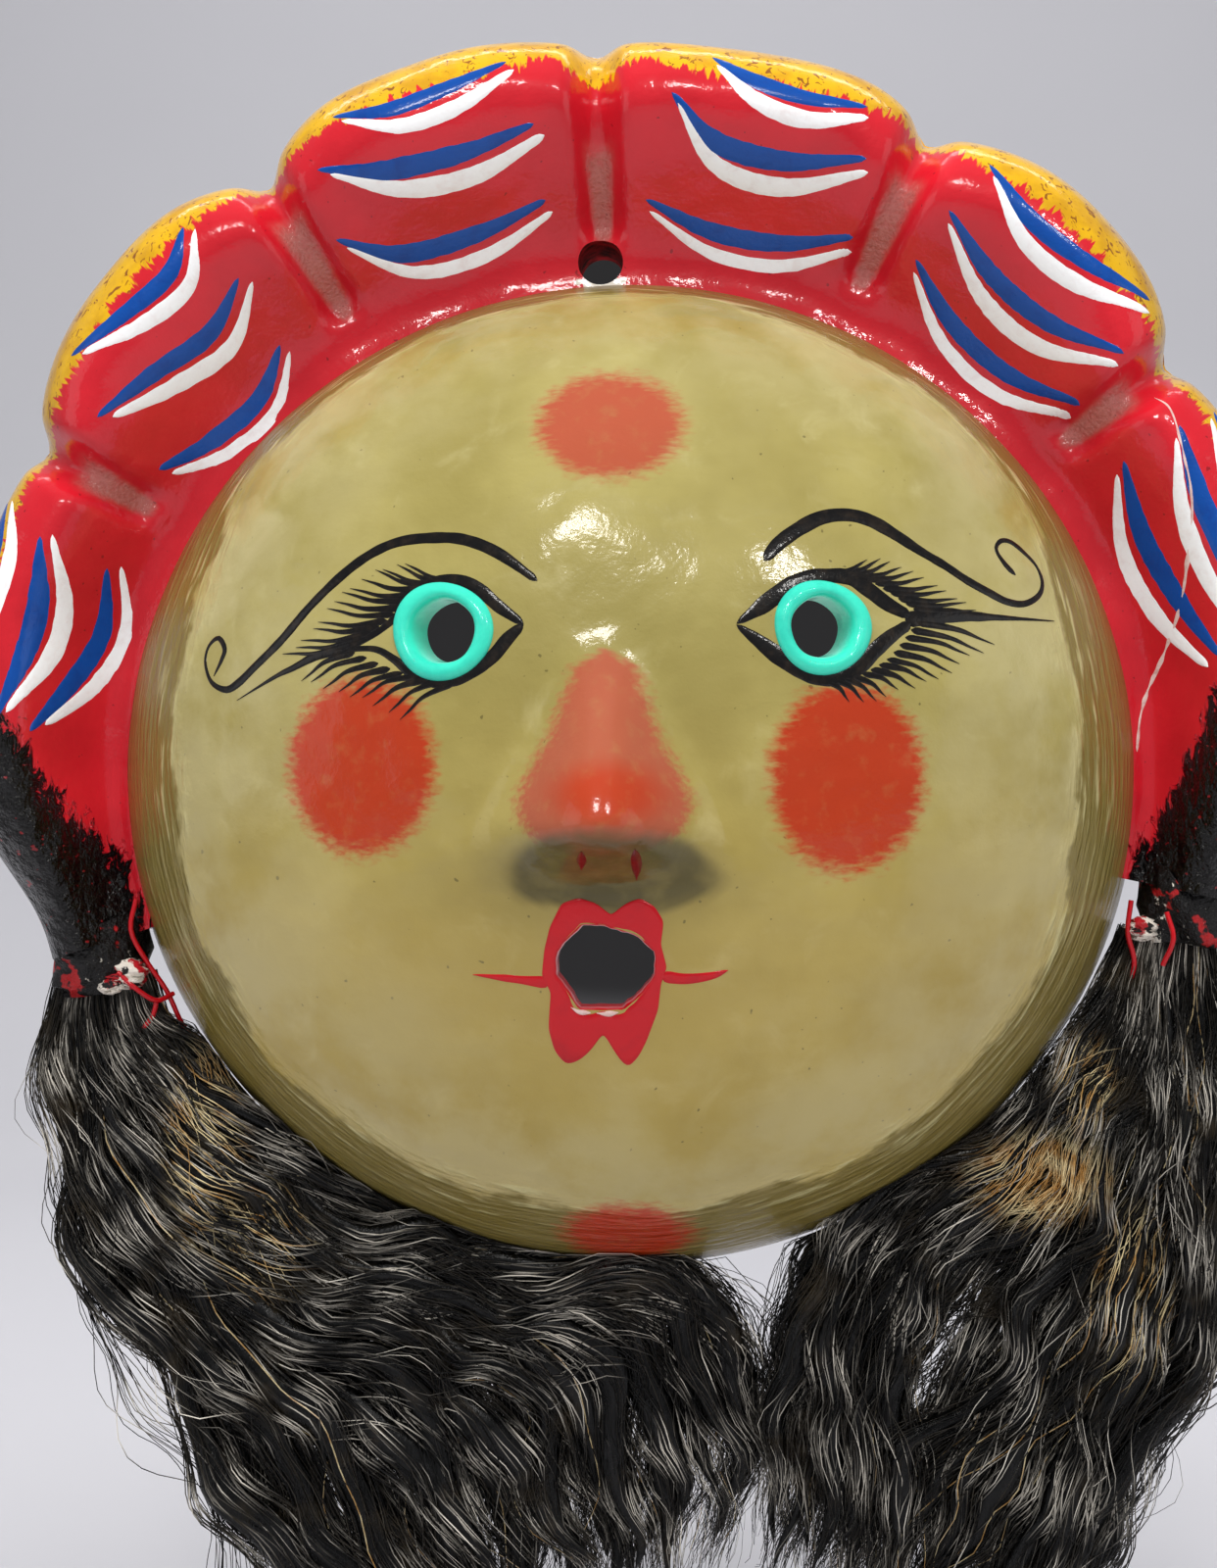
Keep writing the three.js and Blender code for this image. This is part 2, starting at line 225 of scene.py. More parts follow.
def banded(name, rows, *materials):
    """A surface facing outwards, from rows of points that each go once round."""
    points = np.stack(rows)
    quads = sheet_quads(*points.shape[:2], wrap_columns=True)
    return new_mesh(name, points.reshape(-1, 3), quads[:, ::-1], *materials)


def tubes(paths, radii, sides):
    """Points and quads of thin tubes along paths, an array of (tubes, steps, 3) in metres."""
    ahead = np.gradient(paths, axis=1)
    ahead /= np.linalg.norm(ahead, axis=2, keepdims=True) + 1e-12
    side = np.cross(ahead, [0.0, 1.0, 0.0])
    side /= np.linalg.norm(side, axis=2, keepdims=True) + 1e-12
    over = np.cross(side, ahead)
    turn = once_round(sides)[None, None, :, None]
    ring = side[:, :, None] * np.cos(turn) + over[:, :, None] * np.sin(turn)
    points = paths[:, :, None] + ring * radii[:, :, None, None]
    return points.reshape(-1, 3), tube_quads(len(paths), paths.shape[1], sides)


def tube_quads(count, steps, sides):
    """Quads of several tubes, one after another."""
    one = sheet_quads(steps, sides, wrap_columns=True)
    starts = np.arange(count)[:, None, None] * steps * sides
    return (one[None] + starts).reshape(-1, 4)


def joined(name, parts, material):
    """One object from several pairs of points and quads."""
    points, quads, offset = [], [], 0
    for some_points, some_quads in parts:
        points.append(some_points)
        quads.append(some_quads + offset)
        offset += len(some_points)
    return new_mesh(name, np.concatenate(points), np.concatenate(quads), material)


def put_attribute(piece, name, values):
    attribute = piece.data.attributes.new(name, "FLOAT", "POINT")
    attribute.data.foreach_set("value", np.asarray(values, np.float32).ravel())


def points_of(piece):
    """A piece's points as places round the face's middle and depths, in millimetres."""
    flat = np.empty(len(piece.data.vertices) * 3, np.float32)
    piece.data.vertices.foreach_get("co", flat)
    at = flat.reshape(-1, 3) / MM
    return at[:, 0] - FACE_X, at[:, 2] - FACE_Z, -at[:, 1]


def faces_within(piece, chosen):
    """Which faces have all their corners among the chosen points."""
    return np.array([all(chosen[v] for v in face.vertices) for face in piece.data.polygons])


def set_materials(piece, numbers, sharp_degrees):
    """Each face's material, and shading that breaks at edges sharper than an angle."""
    piece.data.polygons.foreach_set("material_index", numbers.astype(np.int32))
    piece.data.shade_smooth()
    piece.data.set_sharp_from_angle(angle=sharp_degrees * DEG)


def close_mesh(mesh):
    """Fills a mesh's open ends and turns its faces outwards."""
    edit = bmesh.new()
    edit.from_mesh(mesh)
    bmesh.ops.holes_fill(edit, edges=[edge for edge in edit.edges if edge.is_boundary], sides=0)
    bmesh.ops.recalc_face_normals(edit, faces=edit.faces)
    edit.to_mesh(mesh)
    edit.free()


def prism(ends):
    """A closed solid between two rings of points."""
    cutter = banded("cutter", ends)
    close_mesh(cutter.data)
    return cutter


def cut_out(piece, cutters):
    """Cuts each cutter out of a piece, and removes the cutters."""
    for cutter in cutters:
        cut = piece.modifiers.new("hole", "BOOLEAN")
        cut.object = cutter
        cut.operation = "DIFFERENCE"
        cut.solver = "EXACT"
    graph = bpy.context.evaluated_depsgraph_get()
    made = bpy.data.meshes.new_from_object(piece.evaluated_get(graph))
    piece.modifiers.clear()
    old = piece.data
    piece.data = made
    bpy.data.meshes.remove(old)
    for cutter in cutters:
        bpy.data.objects.remove(cutter)


# ---- Node materials --------------------------------------------------------------------


class Paint:
    """A node material, built up by short calls."""

    def __init__(self, name):
        self.material = bpy.data.materials.new(name)
        self.material.use_nodes = True
        self.tree = self.material.node_tree
        self.shader = self.tree.nodes["Principled BSDF"]

    def node(self, kind, settings=None, **inputs):
        made = self.tree.nodes.new(kind)
        for key, value in (settings or {}).items():
            setattr(made, key, value)
        for key, value in inputs.items():
            self.feed(made.inputs[key.replace("_", " ")], value)
        return made

    def feed(self, socket, value):
        if isinstance(value, bpy.types.NodeSocket):
            self.tree.links.new(value, socket)
        else:
            socket.default_value = value

    def feed_all(self, made, values):
        for socket, value in zip(made.inputs, values):
            self.feed(socket, value)
        return made.outputs[0]

    def place(self):
        return self.node("ShaderNodeTexCoord").outputs["Object"]

    def stretched(self, x, y, z):
        return self.node("ShaderNodeMapping", Vector=self.place(), Scale=(x, y, z)).outputs[0]

    def noise(self, size, detail=3.0, rough=0.55, stretch=None, warp=0.0):
        """Noise whose lumps are about this many millimetres."""
        where = self.stretched(*stretch) if stretch else self.place()
        settings = {"Scale": 1 / (size * MM), "Detail": detail, "Roughness": rough, "Distortion": warp}
        return self.node("ShaderNodeTexNoise", Vector=where, **settings).outputs["Fac"]

    def noise_over(self, x, y, z, scale, detail):
        """Noise over coordinates of the material's own, in millimetres."""
        where = self.node("ShaderNodeCombineXYZ", X=x, Y=y, Z=z).outputs[0]
        made = self.node("ShaderNodeTexNoise", Scale=scale, Detail=detail, Vector=where)
        return made.outputs["Fac"]

    def attribute(self, name):
        return self.node("ShaderNodeAttribute", {"attribute_name": name}).outputs["Fac"]

    def maths(self, operation, *values):
        return self.feed_all(self.node("ShaderNodeMath", {"operation": operation}), values)

    def times(self, a, b):
        return self.maths("MULTIPLY", a, b)

    def wandering(self, edge, noise, reach):
        """An edge in millimetres, moved to and fro by noise."""
        return self.maths("ADD", edge, self.maths("MULTIPLY_ADD", noise, reach, -reach / 2))

    def ramp(self, value, low, high, to_low=0.0, to_high=1.0):
        """A smooth step of value from one level to another."""
        made = self.node("ShaderNodeMapRange", {"interpolation_type": "SMOOTHSTEP"})
        return self.feed_all(made, (value, low, high, to_low, to_high))

    def blend(self, share, a, b):
        made = self.node("ShaderNodeMix", {"data_type": "RGBA"})
        for number, value in ((0, share), (6, a), (7, b)):
            self.feed(made.inputs[number], value)
        return made.outputs[2]

    def layer(self, under, over, value, low, high, least=0.0, most=1.0):
        """A colour with another over it, the more so the higher a value is."""
        return self.blend(self.ramp(value, low, high, least, most), under, over)

    def chipped(self, color):
        """A colour chipped to the white ground round the hanging hole."""
        chip = self.maths("ADD", self.attribute("chip_mm"), self.noise(2.2))
        return self.layer(color, GESSO, chip, 0.95, 1.0)

    def bump(self, height, distance, strength=1.0, under=None):
        made = self.node("ShaderNodeBump", Height=height, Distance=distance * MM, Strength=strength)
        if under:
            self.feed(made.inputs["Normal"], under)
        return made.outputs[0]

    def varnish_bump(self, fine=0.05):
        """Long soft waves of brushed varnish, with grit in it."""
        under = self.bump(self.noise(16, detail=2.0), 0.9)
        return self.bump(self.noise(1.1, detail=2.0), fine, under=under)

    def finish(self, color, roughness, normal=None, coat=0.0, coat_roughness=0.05, specular=None):
        inputs = self.shader.inputs
        inputs["Specular IOR Level"].default_value = specular or (0.15 if coat else 0.45)
        inputs["Coat Roughness"].default_value = coat_roughness
        self.feed(inputs["Base Color"], color)
        self.feed(inputs["Roughness"], roughness)
        self.feed(inputs["Coat Weight"], coat)
        if normal:
            self.feed(inputs["Normal"], normal)
            self.feed(inputs["Coat Normal"], normal)
        return self.material


def linear(red, green, blue):
    """A screen colour, 0 to 255, as the linear colour that Blender mixes."""
    parts = []
    for value in (red, green, blue):
        v = value / 255
        parts.append(v / 12.92 if v <= 0.04045 else ((v + 0.055) / 1.055) ** 2.4)
    return (*parts, 1.0)


OLIVE = linear(174, 161, 94)
OLIVE_DARK = linear(154, 141, 76)
OLIVE_PALE = linear(190, 179, 124)
OLIVE_WARM = linear(192, 156, 62)
PAINTED_DARK_REFLECTION = linear(122, 106, 46)
OLIVE_PAINTED_SHADE = linear(88, 78, 34)
OLIVE_SPECK = linear(92, 82, 40)
PAINTED_PALE_REFLECTION = linear(204, 194, 150)
PAINTED_STREAK_HIGHLIGHT = linear(206, 196, 140)
ROUGE = linear(184, 42, 2)
ROUGE_PALE = linear(176, 86, 60)
RED = linear(216, 30, 44)
RED_DARK = linear(182, 18, 32)
RED_SPECK = linear(96, 16, 20)
RED_MISSED = linear(150, 28, 34)
RED_RUBBED = linear(150, 84, 76)
RED_RUBBED_PALE = linear(200, 148, 136)
YELLOW = linear(226, 174, 6)
YELLOW_DARK = linear(190, 134, 8)
YELLOW_FLECK = linear(120, 52, 14)
BLUE = linear(4, 74, 160)
WHITE = linear(255, 255, 255)
GESSO = linear(232, 226, 212)
TURQUOISE = linear(62, 226, 194)
BLACK = linear(8, 6, 6)
LIP = linear(200, 8, 24)
BARE = linear(120, 84, 58)
BARE_PALE = linear(168, 128, 92)
BARE_DEEP = linear(66, 44, 30)


def olive_ground(paint):
    """Brushed, slightly patchy olive enamel, warmer low on the face."""
    patches = paint.ramp(paint.noise(34, detail=4.0), 0.35, 0.68)
    color = paint.blend(patches, OLIVE_DARK, OLIVE)
    color = paint.layer(color, OLIVE_PALE, paint.noise(12, detail=5.0, warp=0.6), 0.55, 0.8, 0, 0.6)
    brushed = paint.noise(1.6, detail=4.0, stretch=(0.12, 1, 1))
    color = paint.layer(color, OLIVE_DARK, brushed, 0.5, 0.9, 0, 0.35)
    color = paint.blend(paint.attribute("low"), paint.chipped(color), OLIVE_WARM)
    return paint.layer(color, OLIVE_SPECK, paint.noise(1.5, detail=1.0), 0.76, 0.8, 0, 0.7)


def flank_painted_reflections(paint, color, shore, wander, streaks):
    """Painted reflections in the varnish on the face's flank: a dark band, a pale wash over it and pale
    highlight streaks at its inner edge.
    """
    # A pale painted reflection washed over part of the flank.
    pale_reflection = paint.times(paint.ramp(shore, -26, -3), paint.ramp(wander, 0.3, 0.6))
    color = paint.blend(paint.times(pale_reflection, 0.4), color, PAINTED_PALE_REFLECTION)
    # The dark band on the flank is a painted reflection.
    color = paint.layer(color, PAINTED_DARK_REFLECTION, shore, -0.8, 0.8, 0, 0.88)
    near = paint.times(paint.ramp(shore, -3.5, 0.0), paint.ramp(shore, 1.0, 9.0, 1, 0.25))
    # Pale streaks at the band's inner edge are painted highlights.
    pale = paint.times(near, paint.ramp(streaks, 0.54, 0.68))
    return paint.blend(paint.times(pale, 0.75), color, PAINTED_STREAK_HIGHLIGHT)


def dabbed_rouge(paint, color):
    """Rouge dabbed on by a dry brush that left a hatched edge."""
    hatch = paint.noise(0.9, detail=2.0, stretch=(0.34, 1, 1.0))
    edge = paint.wandering(paint.attribute("rouge_mm"), hatch, 5.0)
    rouge = paint.blend(paint.attribute("rouge_pale"), ROUGE, ROUGE_PALE)
    rouge = paint.layer(rouge, OLIVE, paint.noise(3.0, detail=5.0), 0.5, 0.85, 0, 0.18)
    return paint.layer(color, rouge, edge, -1.7, 2.2, 0, 0.95)


def face_paint():
    paint = Paint("olive_enamel")
    flank = paint.attribute("flank_mm")
    wander = paint.noise(20, detail=5.0)
    shore = paint.wandering(flank, wander, 14.0)
    ring_x, ring_z = (paint.times(paint.attribute(f"ring_{axis}"), 0.09) for axis in "xz")
    streaks = paint.noise_over(ring_x, flank, ring_z, 0.8, 4.0)
    # Painted reflections and highlights on the face's flank.
    color = flank_painted_reflections(paint, olive_ground(paint), shore, wander, streaks)
    color = dabbed_rouge(paint, color)
    # Painted shade under the nose, stronger in patches.
    thick = paint.ramp(paint.noise(7.0), 0.25, 0.6, 0.75, 1.0)
    color = paint.blend(paint.times(paint.attribute("painted_nose_shade"), thick), color, OLIVE_PAINTED_SHADE)
    roughness = paint.ramp(paint.noise(20), 0.3, 0.7, 0.28, 0.42)
    wrinkles = paint.times(streaks, paint.ramp(shore, -4.0, 0.5))
    wrinkled = paint.bump(wrinkles, 0.8, under=paint.varnish_bump())
    return paint.finish(color, roughness, wrinkled, coat=0.7, coat_roughness=0.12)


def yellow_rim(paint, color):
    """Yellow dragged over the rim by a dry, split brush, with brown flecks in it."""
    across = paint.times(paint.attribute("rim_mm"), 0.16)
    bristles = paint.noise_over(paint.attribute("arc_mm"), across, 0.0, 0.9, 3.0)
    reach = paint.maths("MULTIPLY_ADD", bristles, 9.0, -4.6)
    edge = paint.maths("ADD", paint.attribute("yellow_mm"), reach)
    flecks = paint.noise(1.6, detail=2.0, stretch=(1, 1, 0.6), warp=1.2)
    yellow = paint.layer(YELLOW, YELLOW_DARK, paint.noise(7.0), 0.4, 0.7, 0, 0.7)
    yellow = paint.layer(yellow, YELLOW_FLECK, flecks, 0.6, 0.66, 0, 0.85)
    return paint.layer(color, yellow, edge, -0.3, 0.5)


def black_ends(paint, color, edge):
    """Black dabbed on, with a little of the red missed."""
    missed = paint.noise(1.3, detail=1.0, stretch=(0.5, 1, 1.2))
    black = paint.layer(BLACK, RED_MISSED, missed, 0.7, 0.74, 0, 0.75)
    return paint.layer(color, black, edge, -0.3, 0.6)


def crown_paint():
    """Red enamel with a yellow rim, black ends and grooves rubbed to their ground."""
    paint = Paint("red_enamel")
    patches = paint.ramp(paint.noise(22, detail=4.0), 0.35, 0.7)
    color = paint.blend(paint.maths("MULTIPLY_ADD", patches, 0.5, 0.5), RED_DARK, RED)
    rub = paint.attribute("groove")
    grain = paint.noise(0.7)
    bottom = paint.blend(grain, RED_RUBBED, RED_RUBBED_PALE)
    patchy = paint.times(rub, paint.ramp(paint.noise(2.0, detail=4.0), 0.3, 0.65, 0.8, 1.15))
    color = yellow_rim(paint, paint.layer(color, bottom, patchy, 0.1, 1.0, 0, 0.7))
    dabs = paint.noise(3.0, detail=4.0, rough=0.7, stretch=(1.5, 1, 0.7), warp=0.8)
    black_edge = paint.wandering(paint.attribute("black_mm"), dabs, 26.0)
    color = paint.chipped(black_ends(paint, color, black_edge))
    color = paint.layer(color, RED_SPECK, paint.noise(1.4, detail=1.0), 0.75, 0.79, 0, 0.6)
    roughness = paint.ramp(rub, 0.4, 0.8, 0.3, 0.7)
    coarse = paint.times(grain, paint.ramp(rub, 0.3, 0.8))
    coarse = paint.bump(coarse, 0.35, under=paint.varnish_bump(0.07))
    lumps = paint.times(paint.noise(5.0, detail=4.0, rough=0.6), paint.ramp(black_edge, -2.0, 4.0))
    coat = paint.ramp(black_edge, -0.3, 0.6, 0.75, 0.35)
    return paint.finish(color, roughness, paint.bump(lumps, 3.2, under=coarse), coat=coat)


def enamel(name, color, dark, patch_size=5.0, coat=0.5):
    """A thick brushed enamel with a little of a darker colour showing in its brush marks."""
    paint = Paint(name)
    marks = paint.noise(patch_size, detail=5.0, rough=0.65, warp=0.4)
    mixed = paint.layer(color, dark, marks, 0.42, 0.78, 0, 0.7)
    return paint.finish(mixed, 0.3, paint.bump(paint.noise(0.8), 0.06), coat=coat)


def bare_wood():
    """The unpainted back: gouged and darkened, with smears of priming."""
    paint = Paint("bare_back")
    grain = paint.noise(2.2, detail=6.0, stretch=(1.6, 1, 0.18))
    color = paint.blend(grain, BARE, BARE_PALE)
    gouges = paint.noise(9.0, detail=2.0, stretch=(1.2, 1, 0.6), warp=0.3)
    color = paint.layer(color, BARE_DEEP, gouges, 0.3, 0.6, 0.35, 0)
    color = paint.layer(color, GESSO, paint.noise(26.0, detail=4.0, warp=0.8), 0.6, 0.7, 0, 0.6)
    return paint.finish(color, 0.82, paint.bump(grain, 0.25, under=paint.bump(gouges, 1.6)))


def hole_paint():
    """Red that ran thinly into the hanging hole."""
    paint = Paint("hole_wall")
    patches = paint.noise(3.0, detail=4.0)
    color = paint.layer(linear(170, 26, 32), linear(70, 18, 14), patches, 0.35, 0.65)
    return paint.finish(color, 0.9, specular=0.05)


def socket_paint():
    """Black enamel over paste, chipped to the white ground, with red from the headdress."""
    paint = Paint("black_paste")
    chips = paint.noise(4.0, detail=5.0, rough=0.65)
    chips = paint.maths("ADD", chips, paint.attribute("chipped"))
    color = paint.layer(BLACK, GESSO, chips, 0.62, 0.66)
    color = paint.layer(color, linear(176, 26, 30), paint.noise(5.5), 0.6, 0.64)
    lumps = paint.bump(paint.noise(3.2, detail=5.0, rough=0.6), 2.0)
    return paint.finish(color, 0.4, lumps, coat=0.35)


def lump_paint():
    """White ground, daubed with red and black in places."""
    paint = Paint("paste_lumps")
    daubs = paint.noise(3.2, detail=4.0)
    color = paint.layer(linear(238, 228, 214), linear(184, 18, 30), daubs, 0.53, 0.58)
    color = paint.layer(color, BLACK, paint.noise(2.1, detail=4.0), 0.55, 0.6)
    return paint.finish(color, 0.5, paint.bump(paint.noise(1.2, detail=4.0), 0.6))


def thread_paint():
    paint = Paint("daubed_thread")
    color = paint.layer(linear(34, 26, 24), linear(120, 30, 28), paint.noise(4.0), 0.42, 0.55)
    return paint.finish(color, 0.6, paint.bump(paint.noise(0.5, stretch=(1, 1, 2.5)), 0.15))


def fibre_paint():
    """Dyed agave fibre: each strand has its own tone, the dye missed some of them, and highlights are
    painted along the locks.
    """
    paint = Paint("dyed_fibre")
    tone = paint.attribute("tone")
    color = paint.layer(linear(4, 4, 4), linear(42, 38, 32), tone, 0.1, 0.85)
    color = paint.layer(color, linear(84, 72, 52), paint.noise(11.0), 0.52, 0.8, 0, 0.5)
    # Painted highlights along the locks where they bend towards the light.
    color = paint.blend(paint.attribute("painted_highlight"), color, linear(255, 247, 232))
    gold = paint.layer(linear(196, 146, 78), linear(255, 236, 184), paint.noise(4.0), 0.35, 0.65)
    color = paint.blend(paint.attribute("gold"), color, gold)
    roughness = paint.ramp(paint.noise(3.0), 0.3, 0.7, 0.2, 0.42)
    grain = paint.bump(paint.noise(0.45, detail=2.0, stretch=(1, 1, 0.12)), 0.2)
    return paint.finish(color, roughness, grain, specular=0.3)


FACE_PAINT = face_paint()
CROWN_PAINT = crown_paint()
BARE_WOOD = bare_wood()
BLUE_PAINT = enamel("blue_enamel", BLUE, linear(10, 54, 132))
WHITE_PAINT = enamel("white_enamel", WHITE, linear(240, 228, 226), patch_size=3.0)
RIM_PAINT = enamel("turquoise_enamel", TURQUOISE, linear(38, 190, 170), patch_size=9.0)
LIP_PAINT = enamel("lip_enamel", LIP, linear(168, 12, 28), patch_size=8.0)
LINE_PAINT = enamel("black_enamel", BLACK, linear(46, 36, 26), patch_size=2.5)
CRACK_PAINT = enamel("bare_ground", linear(236, 206, 198), linear(190, 120, 110), 2.0, coat=0.2)
RUN_PAINT = enamel("rouge_runs", linear(120, 16, 14), linear(90, 10, 10))
HOLE_PAINT = hole_paint()
SOCKET_PAINT = socket_paint()
LUMP_PAINT = lump_paint()
THREAD_PAINT = thread_paint()
FIBRE_PAINT = fibre_paint()

# ---- The face --------------------------------------------------------------------------

DOME_POWER = 2.4
WALL = 6.0
NOSE_X, NOSE_LOW, NOSE_HIGH, NOSE_TALL = -3.0, -22.0, 23.0, 17.0
MOUTH = np.array([-2.5, -33.5])
EYE_TILT = {"left": -18 * DEG, "right": 18 * DEG}  # how far each eye hole looks outwards
EYE_HOLE_RADIUS = 6.9
STRAIGHT_AHEAD = Vector((0, -1, 0))
BEYOND = 40.0  # how far the cutters of the holes reach past the dome
# The mouth's painted outline and its whittled hole, from the mouth's middle.
LIP_OUTLINE = [
    (10.5, 0), (9.5, 4), (10, 8), (8.5, 10.5), (6, 12), (3.5, 11), (1, 9), (-1.5, 11), (-4.5, 12),
    (-7.5, 11), (-9.5, 7), (-10.5, 3), (-11, -1.5), (-9.5, -4.5), (-10, -11), (-9, -15), (-7, -17.5),
    (-4.5, -16.5), (-2.5, -14.5), (-0.5, -11.5), (1.5, -15), (3.5, -18), (5.5, -16), (7, -13),
    (9, -7.5), (9.5, -3),
]
MOUTH_OUTLINE = [
    (8.5, -1.3), (8.5, 2.8), (5, 5.5), (-1, 7.2), (-4, 7.2), (-8.5, 2.7), (-8.5, -1.4), (-6.5, -4),
    (-4.5, -7.3), (3, -7.2), (6, -4.5),
]
# The flank nearer the wall than this has wrinkled varnish and a painted dark reflection, lower down and at
# the forehead.
FLANK_DEEP, FOREHEAD_FLANK_DEEP = 36.0, 25.0
ROUGE_SPOTS = [  # middle x and z, half-width, half-height and paleness
    (-2, 61, 13, 10, 0.7),
    (-45, 1, 13.5, 15.5, 0),
    (39, -1, 13.5, 16.5, 0),
    (0.5, -85, 12, 7, 0),
]
NOSE_ROUGE = [  # height and half-width of the rouge down the nose
    (-18, -6), (-14.5, 0), (-13, 9), (-10, 13.3), (-5.5, 15.2), (-1, 13.6), (6, 9.6), (13, 7.2),
    (18, 5.6), (20.5, 1), (23, -4), (40, -40),
]


def nose_height(x, z):
    up = (z - NOSE_LOW) / (NOSE_HIGH - NOSE_LOW)
    ridge = NOSE_TALL * smooth(up, 0.03, 0.3) ** 0.8 * (1 - smooth(up, 0.22, 1.08))
    half = mix(25.0, 10.0, smooth(up, 0.12, 0.95))
    across = np.clip(np.abs(x - NOSE_X) / half, 0, 1)
    return ridge * (0.5 + 0.5 * np.cos(math.pi * across))


def face_depth(x, z):
    """Depth of the painted face, with the unevenness of work by hand."""
    out = np.clip(oval_away(x, z, 0, 0, HALF_WIDTH, HALF_HEIGHT), 0, 1)
    dome = DEPTH * np.sqrt(1 - out**DOME_POWER)
    uneven = 0.45 * ripple(x, z, 46, 3) + 0.12 * ripple(x, z, 17, 4)
    return dome + nose_height(x, z) + uneven * smooth(1 - out, 0, 0.12)


def dome_grid(rings, turn, wall):
    """Places over the dome, from its rim to near its middle, and each ring's rise in radians."""
    rise = np.linspace(0, 1, rings)[:, None] ** 0.9 * math.pi / 2 * 0.9995
    out = np.cos(rise) ** (2 / DOME_POWER)
    x = (HALF_WIDTH - wall) * out * np.cos(turn)
    z = (HALF_HEIGHT - wall) * out * np.sin(turn)
    return x, z, rise


def face_shell():
    """The closed shell as a fine dome, hollow behind."""
    turn = once_round(300)
    x, z, _ = dome_grid(104, turn, 0)
    outside = place(x, z, face_depth(x, z))
    x, z, rise = dome_grid(34, turn, WALL)
    gouged = 0.5 * ripple(x, z, 14, 8) * smooth(rise, 0.05, 0.3)
    inside = place(x, z, (DEPTH - WALL) * np.sin(rise) + gouged)
    shell = banded("face", [*outside[::-1], *inside], FACE_PAINT, BARE_WOOD)
    close_mesh(shell.data)
    return shell


def face_piece():
    """The shell with its eyes, mouth and hanging hole cut, and the marks its paint needs."""
    shell = face_shell()
    eyes = [round_cutter(EYES[side], EYE_HOLE_RADIUS, eye_axis(side)) for side in SIDES]
    cut_out(shell, [*eyes, round_cutter(HOLE, HOLE_RADIUS, STRAIGHT_AHEAD), mouth_cutter()])
    x, z, depth = points_of(shell)
    half_wall = WALL / 2
    grown = HALF_WIDTH / (HALF_WIDTH - half_wall)
    out = oval_away(x, z, 0, 0, HALF_WIDTH, HALF_HEIGHT) * grown
    behind = (DEPTH - half_wall) * np.sqrt(np.clip(1 - out**DOME_POWER, 0, 1))
    is_inside = (depth < behind - 0.5) | (depth < 0.2)
    set_materials(shell, faces_within(shell, is_inside), sharp_degrees=38)
    put_rouge(shell, x, z)
    # Where shade under the nose is painted.
    put_attribute(shell, "painted_nose_shade", nose_shade_share(x, z))
    put_attribute(shell, "chip_mm", chip_share(x, z))
    put_attribute(shell, "ring_x", HALF_WIDTH * x / (np.hypot(x, z) + 1))
    put_attribute(shell, "ring_z", HALF_WIDTH * z / (np.hypot(x, z) + 1))
    put_attribute(shell, "low", 0.4 * smooth(-z, -25, 45))
    flank = mix(FLANK_DEEP, FOREHEAD_FLANK_DEEP, smooth(z, 10, 80))
    put_attribute(shell, "flank_mm", flank - depth)
    return shell


def eye_axis(side):
    """The direction an eye hole looks along: out from the dome, as the frame's rim faces."""
    return Vector((math.sin(EYE_TILT[side]), -math.cos(EYE_TILT[side]), 0))


def round_cutter(middle, radius, axis):
    depth = float(face_depth(*middle))
    across = axis.cross(Vector((0, 0, 1))).normalized()
    turn = once_round(40)[:, None]
    ring = np.cos(turn) * np.array(across) + np.sin(turn) * np.array([0, 0, 1])
    start = place(*middle, depth)
    reaches = (BEYOND, -30 - depth)
    return prism([start + ring * radius * MM + np.array(axis) * far * MM for far in reaches])


def mouth_cutter():
    turn = once_round(72)
    radius = around(MOUTH_OUTLINE, turn) + 0.3
    x, z = MOUTH[0] + radius * np.cos(turn), MOUTH[1] + radius * np.sin(turn)
    return prism([place(x, z, depth) for depth in (DEPTH + BEYOND, -5)])


def put_rouge(piece, x, z):
    """How far inside its rouge each point is, and how pale that rouge is."""
    inside = np.full(len(x), -50.0)
    pale = np.zeros(len(x))
    for *spot, paleness in ROUGE_SPOTS:
        here = (1 - oval_away(x, z, *spot)) * min(spot[2:])
        pale = np.where(here > inside, paleness, pale)
        inside = np.maximum(inside, here)
    heights, halves = np.array(NOSE_ROUGE).T
    here = np.interp(z, heights, halves) - np.abs(x - NOSE_X - 0.5)
    # The rouge off the nose's tip is paler; below the tip this paler band is a painted dull reflection.
    off_tip = smooth(oval_away(x, z, -1.5, -4, 9, 5), 0.5, 1.5)
    pale = np.where(here > inside, mix(0.1, 1.0, off_tip), pale)
    put_attribute(piece, "rouge_mm", np.maximum(inside, here))
    put_attribute(piece, "rouge_pale", pale)


def nose_shade_share(x, z):
    """Painted shade under the nose, with fainter and wider painted shade round it."""
    deep_shade = oval_away(x, z, NOSE_X + 1, -17, 20, 7.5) + 0.09 * ripple(x, z, 13, 77)
    wide_shade = oval_away(x, z, NOSE_X - 3, -19, 34, 10)
    return 0.75 * (1 - smooth(deep_shade, 0.82, 1.04)) + 0.22 * (1 - smooth(wide_shade, 0.5, 1.2))


def chip_share(x, z):
    """High just below the hanging hole, where its edge is chipped to the white ground."""
    away = np.hypot(x - HOLE[0], z - HOLE[1])
    return 0.78 * smooth(6.8 - away, 0, 1.2) * smooth(HOLE[1] - z, 2.2, 3.4)


# ---- Strokes of paint ------------------------------------------------------------------

